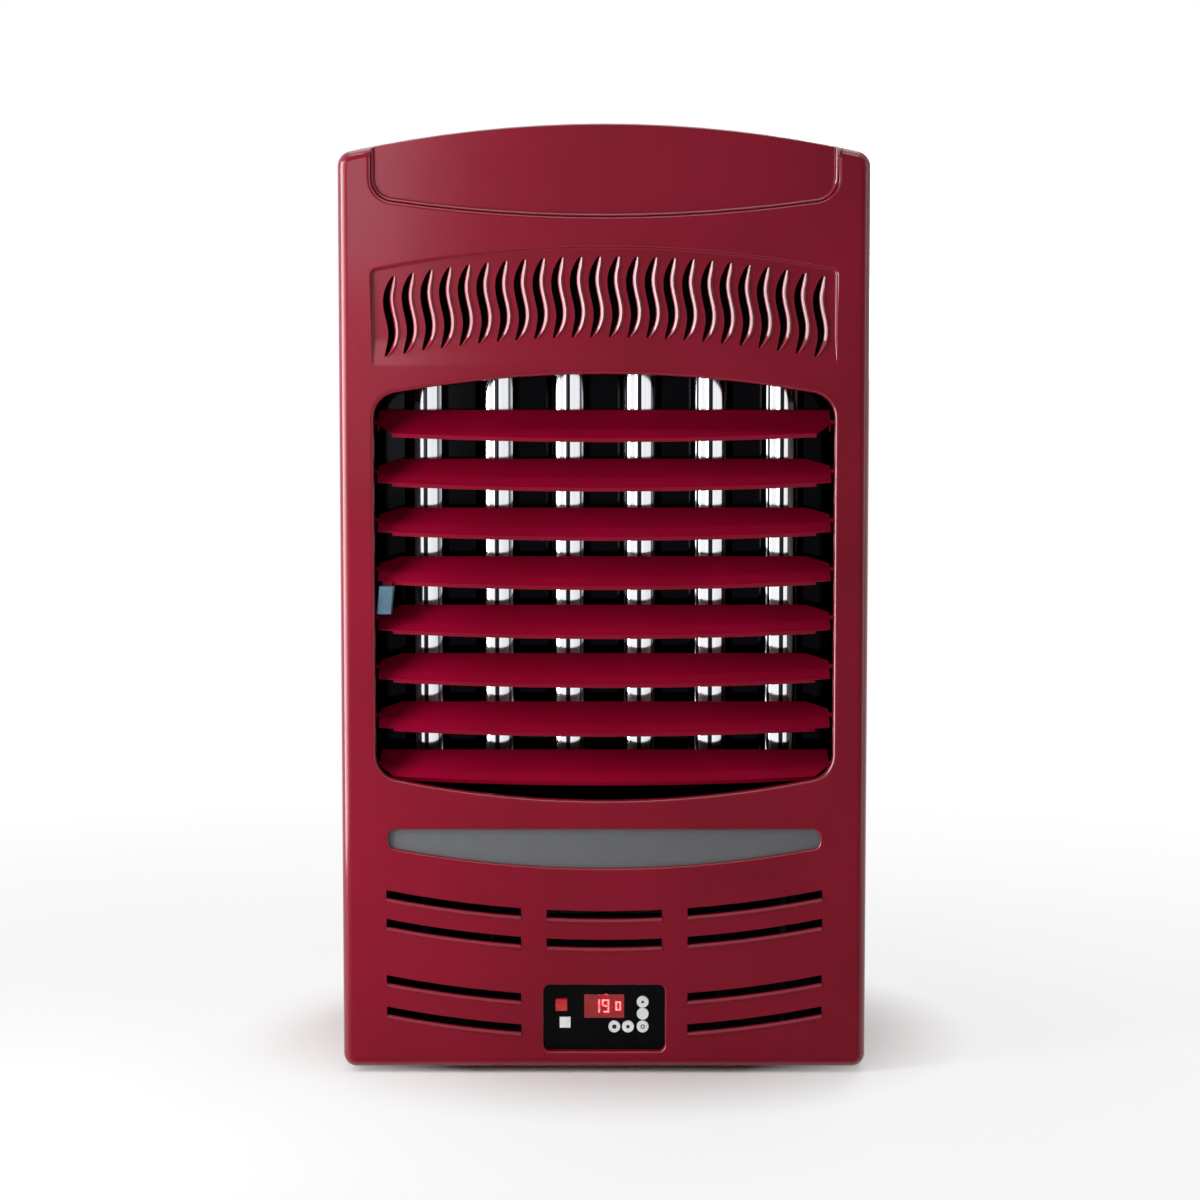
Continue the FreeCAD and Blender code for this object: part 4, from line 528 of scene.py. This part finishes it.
def front_edges(shape, wanted):
    """The sharp edges on the front between a flat and a wall that the test wants."""
    found = []
    for edge in shape.edges:
        if len(edge.link_faces) != 2 or max(v.co.y for v in edge.verts) > FRONT_DEEP:
            continue
        flat = [f for f in edge.link_faces if f.normal.y < -SQUARE_ON]
        walls = [f for f in edge.link_faces if abs(f.normal.y) < UPRIGHT and wanted(f)]
        if len(flat) == 1 and len(walls) == 1 and edge.calc_face_angle(0.0) > SHARP:
            found.append(edge)
    return found


def chains(edges):
    """Joined edges as closed runs of points."""
    left, runs = dict.fromkeys(edges), []
    while left:
        edge = next(iter(left))
        del left[edge]
        run, point = [edge.verts[0].co.copy()], edge.verts[1]
        while True:
            run.append(point.co.copy())
            following = next((e for e in point.link_edges if e in left), None)
            if following is None:
                break
            del left[following]
            point = following.other_vert(point)
        runs.append(run if (run[0] - run[-1]).length > MERGE else run[:-1])
    return [run for run in runs if len(run) > 3]


slot_rims = chains(front_edges(panel, is_cut))
steps = front_edges(panel, is_step)
print("air slots found:", len(slot_rims), "step edges:", len(steps))

# %% [markdown]
# ## The radius of each step
#
# Bevel turns each step's edge into a radius. The sunk field at the top has a softer one than the rest.
# The finished panel stands for the CAD one, which stays in the simulation, and Weighted Normal keeps
# the large flats flat next to the narrow faces of the bevels.

# %% Round the steps
STEP_ROUND, RECESS_ROUND, RECESS_LOW = 2.4 * MM, 4.5 * MM, 0.905


def finish_piece(shape, name, body, material):
    """A bmesh as an object that rides on a body, smooth but for its sharp edges."""
    for face in shape.faces:
        face.smooth = True
    for edge in shape.edges:
        edge.smooth = len(edge.link_faces) == 2 and edge.calc_face_angle(0.0) < SHARP
    data = bpy.data.meshes.new(name)
    shape.to_mesh(data)
    shape.free()
    piece = bpy.data.objects.new(name, data)
    data.materials.append(material)
    bpy.context.scene.collection.objects.link(piece)
    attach(piece, body)
    return piece


recess = [edge for edge in steps if min(v.co.z for v in edge.verts) > RECESS_LOW]
others = [edge for edge in steps if edge not in recess]
for edges, radius, rings in ((others, STEP_ROUND, 3), (recess, RECESS_ROUND, 4)):
    bmesh.ops.bevel(panel, geom=[edge for edge in edges if edge.is_valid], offset=radius, offset_type="OFFSET",
                    segments=rings, profile=0.5, affect="EDGES", material=-1, clamp_overlap=False)
pressed_front = finish_piece(panel, "pressed_front", "casing", CASING_ENAMEL)
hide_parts("front_panel")
flats = pressed_front.modifiers.new("Flats stay flat", "WEIGHTED_NORMAL")
flats.keep_sharp, flats.weight = True, 100
print("rounded:", len(others), "edges of steps and", len(recess), "of the top field")

# %% [markdown]
# ## Marks on the round buttons
#
# Four of the round caps carry a small dark mark, printed so thick that it stands proud: a triangle,
# a ring and two dots. Each mark sits on the middle of its cap and moves with it. A flat disc does for
# all of them, with three corners for the triangle and a second, smaller circle inside for the ring,
# and Solidify gives the ink its thickness.

# %% Print the marks
ROUND = 24
MARKS = {"round_button_1": (3, 2.3, 0.0), "round_button_3": (ROUND, 2.3, 1.4), "round_button_4": (ROUND, 1.9, 0.0),
         "round_button_5": (ROUND, 2.4, 0.0)}
MARK_THICK = 0.2 * MM


def reach_of(name):
    """The lowest and highest place of a CAD part along each axis."""
    points = [corner.co for corner in NODES[name].data.vertices]
    return [(min(point[axis] for point in points), max(point[axis] for point in points)) for axis in range(3)]


def mark(corners, outer_mm, inner_mm, place):
    """A flat disc, polygon or ring that faces the front."""
    shape = bmesh.new()
    bmesh.ops.create_circle(shape, cap_ends=inner_mm == 0.0, segments=corners, radius=outer_mm * MM)
    if inner_mm:
        bmesh.ops.create_circle(shape, cap_ends=False, segments=corners, radius=inner_mm * MM)
        bmesh.ops.bridge_loops(shape, edges=shape.edges)
    turned = Matrix.Translation(place) @ Matrix.Rotation(math.pi / 2, 4, "X")
    bmesh.ops.transform(shape, matrix=turned, verts=shape.verts)
    bmesh.ops.recalc_face_normals(shape, faces=shape.faces)
    return shape


for button, sizes in MARKS.items():
    reaches = reach_of(button)
    place = (sum(reaches[0]) / 2, reaches[1][0] - MARK_THICK / 2, sum(reaches[2]) / 2)
    piece = finish_piece(mark(*sizes, place), button + "_mark", button, BLACK_ABS)
    ink = piece.modifiers.new("Ink", "SOLIDIFY")
    ink.thickness, ink.offset = MARK_THICK, 0.0
    print(piece.name, "at", [round(value, 4) for value in place])

# %% [markdown]
# ## Rolled lips of the air slots
#
# The slots aren't plain cuts either. The press rolls one side of each slot up into a bead before it
# turns the edge in: the right side of a wave, and the lower side of a long slot. The beads catch the
# light, and the other side is only turned in. Each lip starts at a slot's rim, read from the panel,
# and is extruded ring by ring along its section: over the bead, back as a short flange, and up again
# behind it by the thickness of the sheet. The rings move straight across the slot, since an inset
# would cross itself at the ends of a wave, and the bead is smaller where the slot is narrow.

# %% The section of a lip
BEAD = ((-3.4, 0.2), (-2.9, -0.7), (-2.3, -1.2), (-1.5, -1.3), (-0.4, -0.6), (0.7, 0.2), (1.2, 0.8), (1.3, 3.0),
        (0.6, 3.0), (0.6, 1.0))
TURNED = ((0.0, 0.0), (0.05, 0.01), (0.1, 0.05), (0.2, 0.12), (0.3, 0.25), (0.4, 0.5), (0.4, 0.9), (0.4, 3.0),
          (-0.3, 3.0), (-0.3, 1.0))
FULL_HALF = 3.4 * MM


def middle_at(rim, along, across, level):
    """The middle and half the width of a rim at a level along it."""
    crossings = []
    for a, b in zip(rim, rim[1:] + rim[:1]):
        if min(a[along], b[along]) <= level <= max(a[along], b[along]) and abs(a[along] - b[along]) > MERGE:
            crossings.append(a[across] + (b[across] - a[across]) * (level - a[along]) / (b[along] - a[along]))
    low, high = (min(crossings), max(crossings)) if crossings else (0.0, 0.0)
    return (low + high) / 2, (high - low) / 2


print("rings in a lip:", len(BEAD), "the bead stands", -min(back for _, back in BEAD), "mm proud")

# %% [markdown]
# ## Rolling the lips
#
# Every point of a ring keeps its home: the middle of the slot at its level, half the slot's width
# there, and the side it is on. The section then says how far inward and how far back it goes.

# %% Roll the lips
X_AXIS, Z_AXIS = 0, 2
WAVE_BEAD, CURVE_BEAD, CURVE_SET_OUT = 1.3, 1.1, 1.2


def roll_lips(rims, along, across, bead_side, bead_size, set_out_mm):
    """Lips whose bead lies towards bead_side (1 or -1) of the axis across the slot, set out from the rim."""
    shape = bmesh.new()
    for rim in rims:
        corners = [shape.verts.new(point) for point in rim]
        edges = [shape.edges.new(pair) for pair in zip(corners, corners[1:] + corners[:1])]
        homes = {}
        for corner in corners:
            middle, half = middle_at(rim, along, across, corner.co[along])
            homes[corner] = (middle, half, (corner.co[across] - middle) * bead_side > 0, corner.co.y)
        for bead, turned in zip(BEAD, TURNED):
            if bead != BEAD[0]:
                old = {tuple(corner.co): home for corner, home in homes.items()}
                grown = bmesh.ops.extrude_edge_only(shape, edges=edges)["geom"]
                corners = [item for item in grown if isinstance(item, bmesh.types.BMVert)]
                edges = [item for item in grown if isinstance(item, bmesh.types.BMEdge)
                         and all(corner in corners for corner in item.verts)]
                homes = {corner: old[tuple(corner.co)] for corner in corners}
            for corner, (middle, half, beaded, front) in homes.items():
                inward, back = [step * bead_size * min(half / FULL_HALF, 1.0) * MM for step in bead] if beaded \
                    else [step * MM for step in turned]
                inward -= set_out_mm * MM if beaded else 0.0
                corner.co[across] = middle + (bead_side if beaded else -bead_side) * (half - inward)
                corner.co.y = front + back
    bmesh.ops.recalc_face_normals(shape, faces=shape.faces)
    return shape


def is_wave(rim):
    """Whether a rim is taller than it is wide."""
    wide, tall = [max(p[axis] for p in rim) - min(p[axis] for p in rim) for axis in (X_AXIS, Z_AXIS)]
    return tall > wide


waves = [rim for rim in slot_rims if is_wave(rim)]
curves = [rim for rim in slot_rims if not is_wave(rim)]
finish_piece(roll_lips(waves, Z_AXIS, X_AXIS, 1, WAVE_BEAD, 0.0), "wave_slot_lips", "casing", CASING_ENAMEL)
finish_piece(roll_lips(curves, X_AXIS, Z_AXIS, -1, CURVE_BEAD, CURVE_SET_OUT), "curved_slot_lips", "casing",
             CASING_ENAMEL)
print("wave slots:", len(waves), "curved slots:", len(curves))

# %% [markdown]
# ## Hoods over the rear vents
#
# The vents in the back are pressed, not cut: the punch pushes the sheet out above each one as a small
# hood that is open below, so that no one looks in and no dust falls in. Each hood is a cube whose top
# outer edge is pushed back to the panel, with its inner and lower faces removed; Solidify and Bevel
# give it the sheet's thickness and the soft bends of a pressing.

# %% Press the hoods
VENT_LOW, VENT_PITCH, VENT_TALL, VENT_ROWS = 86.0 * MM, 16.0 * MM, 6.0 * MM, 5
VENT_SPAN = (5.0 * MM, 91.0 * MM)
BACK_FACE, HOOD_DEEP, HOOD_LAP, HOOD_BROW = 168.5 * MM, 5.0 * MM, 3.0 * MM, 0.8 * MM
HOOD_SHEET, HOOD_BEND = 0.7 * MM, 0.6 * MM

hoods = bmesh.new()
hood_size = (VENT_SPAN[1] - VENT_SPAN[0], HOOD_DEEP, VENT_TALL + HOOD_LAP * 2)
for row in range(VENT_ROWS):
    for side in (-1, 1):
        place = (side * sum(VENT_SPAN) / 2, BACK_FACE + HOOD_DEEP / 2,
                 VENT_LOW + row * VENT_PITCH + hood_size[2] / 2 - HOOD_LAP)
        sized = Matrix.Translation(place) @ Matrix.Diagonal((*hood_size, 1.0))
        for corner in bmesh.ops.create_cube(hoods, size=1.0, matrix=sized)["verts"]:
            if corner.co.y > place[1] and corner.co.z > place[2]:
                corner.co.y = BACK_FACE + HOOD_BROW
hoods.normal_update()
open_faces = [f for f in hoods.faces if f.normal.y < -SQUARE_ON or f.normal.z < -SQUARE_ON]
bmesh.ops.delete(hoods, geom=open_faces, context="FACES")
# The hoods take the same painted black shade on their faces turned to the front.
rear_hoods = finish_piece(hoods, "rear_vent_hoods", "casing", ZINC_PAINTED_SHADE_INSIDE)
shell = rear_hoods.modifiers.new("Sheet", "SOLIDIFY")
shell.thickness, shell.offset = HOOD_SHEET, -1.0
soft = rear_hoods.modifiers.new("Soft bends", "BEVEL")
soft.width, soft.segments = HOOD_BEND, 2
print("hoods:", VENT_ROWS * 2)

# %% [markdown]
# ## Screws of the back panel
#
# The back panel comes off for service, so it is screwed on through the flanges of the side panels,
# with five pan heads down each edge. Each head is a low cone, and its rim is rounded by Bevel.

# %% Turn the screw heads
HEAD_LOW, HEAD_TOP, HEAD_TALL, HEAD_ROUND = 4.2 * MM, 3.2 * MM, 2.0 * MM, 0.4 * MM
EDGE_INSET = 12.0 * MM
SCREW_LEVELS = (0.06, 0.28, 0.5, 0.72, 0.9)

reaches = reach_of("back_panel")
flange_face = reach_of("side_panel_left")[1][1]
columns = (reaches[0][0] + EDGE_INSET, reaches[0][1] - EDGE_INSET)
spots = [(across, reaches[2][1] * share) for share in SCREW_LEVELS for across in columns]
heads = bmesh.new()
for across, level in spots:
    place = (across, flange_face + HEAD_TALL / 2, level)
    turned = Matrix.Translation(place) @ Matrix.Rotation(-math.pi / 2, 4, "X")
    bmesh.ops.create_cone(heads, cap_ends=True, segments=ROUND, radius1=HEAD_LOW, radius2=HEAD_TOP, depth=HEAD_TALL,
                          matrix=turned)
bmesh.ops.recalc_face_normals(heads, faces=heads.faces)
screws = finish_piece(heads, "back_panel_screws", "casing", ZINC)
rounded = screws.modifiers.new("Turned rim", "BEVEL")
rounded.width, rounded.segments = HEAD_ROUND, 2
print("screws:", len(spots), "from", [round(v, 3) for v in spots[0]], "to", [round(v, 3) for v in spots[-1]])

# %% [markdown]
# ## A white surround
#
# A catalogue picture has a white floor and a white surround. Both are white to the camera, in
# reflections and through clear pieces, but light the heater only softly. Light Path tells which kind
# of ray has met the surface, and a strength of 1 is white.

# %% Surround
WHITE_SEEN, SURROUND_LIGHT = 1.0, 0.05
WHITE = colour("#FFFFFF")


def seen_white(tree):
    """A factor that is 1 where the camera, a reflection or a clear piece sees this surface, else 0."""
    ray = add(tree, "ShaderNodeLightPath")
    bounced = add(tree, "ShaderNodeMath", {0: ray.outputs["Is Glossy Ray"], 1: ray.outputs["Is Transmission Ray"]},
                  operation="MAXIMUM")
    return add(tree, "ShaderNodeMath", {0: ray.outputs["Is Camera Ray"], 1: bounced.outputs["Value"]},
               operation="MAXIMUM").outputs["Value"]


world = bpy.data.worlds.new("studio")
bpy.context.scene.world = world
world.use_nodes = True
world_tree = world.node_tree
world_tree.nodes.clear()
strength = add(world_tree, "ShaderNodeMapRange", {"Value": seen_white(world_tree), "To Min": SURROUND_LIGHT,
                                                  "To Max": WHITE_SEEN})
surround = add(world_tree, "ShaderNodeBackground", {"Color": WHITE, "Strength": strength.outputs["Result"]})
add(world_tree, "ShaderNodeOutputWorld", {"Surface": surround.outputs["Background"]})
print("surround:", WHITE_SEEN, "where it is seen,", SURROUND_LIGHT, "as light")

# %% [markdown]
# ## The floor
#
# The floor is matt white paper. Right under the heater it keeps its own shade and takes the shadow.
# From a quarter of a metre out a white glow is mixed in, up to three quarters, and further out it
# takes over and meets the white of the surround, so that no horizon shows.

# %% Floor
FLOOR_HALF = 14.0
GLOW_FROM, GLOW_TO = 0.24, 0.42
FADE_FROM, FADE_TO, WHITE_NEAR = 0.5, 1.8, 0.75

sheet = bmesh.new()
bmesh.ops.create_grid(sheet, x_segments=1, y_segments=1, size=FLOOR_HALF)
floor = bpy.data.objects.new("floor", bpy.data.meshes.new("floor"))
sheet.to_mesh(floor.data)
sheet.free()
bpy.context.scene.collection.objects.link(floor)

paper, tree, shader, place = start("floor_paper", Roughness=0.9, Specular_IOR_Level=0.1)
dress(tree, shader, tint=(blotches(tree, place, 300.0), "#F4F4F4", "#F8F8F8"))
distance = add(tree, "ShaderNodeVectorMath", {0: place}, operation="LENGTH").outputs["Value"]
away = add(tree, "ShaderNodeMapRange", {"Value": distance, "From Min": FADE_FROM, "From Max": FADE_TO,
                                        "To Min": WHITE_NEAR, "To Max": 1.0})
under = add(tree, "ShaderNodeMapRange", {"Value": distance, "From Min": GLOW_FROM, "From Max": GLOW_TO})
glow = add(tree, "ShaderNodeEmission", {"Color": WHITE, "Strength": WHITE_SEEN})
near = add(tree, "ShaderNodeMath", {0: under.outputs["Result"], 1: away.outputs["Result"]}, operation="MULTIPLY")
lit = add(tree, "ShaderNodeMath", {0: seen_white(tree), 1: near.outputs["Value"]}, operation="MULTIPLY")
blend = add(tree, "ShaderNodeMixShader", {0: lit.outputs["Value"], 1: shader.outputs["BSDF"],
                                          2: glow.outputs["Emission"]})
surface = next(node for node in tree.nodes if node.type == "OUTPUT_MATERIAL").inputs["Surface"]
tree.links.new(blend.outputs["Shader"], surface)
floor.data.materials.append(paper)
print("floor:", FLOOR_HALF * 2, "m wide, white from", FADE_TO, "m")

# %% [markdown]
# ## Lamps
#
# Seven soft lamps light the heater. The strongest one beside the front stands close to its left edge,
# which is why the left of the casing shines and the right of it falls into a deeper red. Two more
# lamps only show in reflections: they draw the bright lines on the rolled edges and leave the enamel's
# own colour as it is written.

# %% Lamps
MIDDLE, FRONT_MIDDLE, FRONT_TOP = (0.0, -0.1, 0.5), (0.0, -0.1, 0.6), (0.0, -0.1, 0.9)
LEFT_EDGE, BACK_MIDDLE = (-0.2, -0.15, 0.6), (0.0, 0.2, 0.5)
LAMPS = {  # place, what it is aimed at, width, height, watts
    "key_left": ((-0.82, -0.68, 0.72), FRONT_MIDDLE, 0.35, 1.2, 10.8),
    "sheen_left": ((-0.7, -3.1, 1.15), MIDDLE, 0.8, 1.3, 10.0),
    "sheen_high": ((-0.75, -3.2, 1.35), FRONT_TOP, 0.7, 0.8, 20.0),
    "sheen_edge": ((-1.5, -0.55, 0.7), LEFT_EDGE, 0.7, 1.6, 40.0),
    "fill_right": ((2.8, -2.6, 1.4), MIDDLE, 2.2, 2.2, 2.0),
    "strip_right": ((1.5, -0.6, 0.6), MIDDLE, 0.15, 1.6, 2.0),
    "strip_top": ((0.0, -0.75, 2.4), MIDDLE, 1.6, 0.2, 8.0),
    "top": ((0.0, 0.6, 3.2), MIDDLE, 2.0, 2.0, 22.0),
    "behind": ((1.4, 3.2, 1.6), BACK_MIDDLE, 1.8, 1.8, 60.0),
}
ONLY_REFLECTED = ("sheen_high", "sheen_edge")

for name, (place, aim, wide, tall, watts) in LAMPS.items():
    lamp = bpy.data.objects.new(name, bpy.data.lights.new(name, "AREA"))
    lamp.data.shape, lamp.data.size, lamp.data.size_y, lamp.data.energy = "RECTANGLE", wide, tall, watts
    lamp.location = place
    lamp.rotation_euler = (Vector(aim) - Vector(place)).to_track_quat("-Z", "Y").to_euler()
    lamp.visible_camera = False
    lamp.visible_diffuse = name not in ONLY_REFLECTED
    bpy.context.scene.collection.objects.link(lamp)
bpy.context.scene.view_settings.view_transform = "Standard"
print("lamps:", len(LAMPS), "of which only reflected:", len(ONLY_REFLECTED))
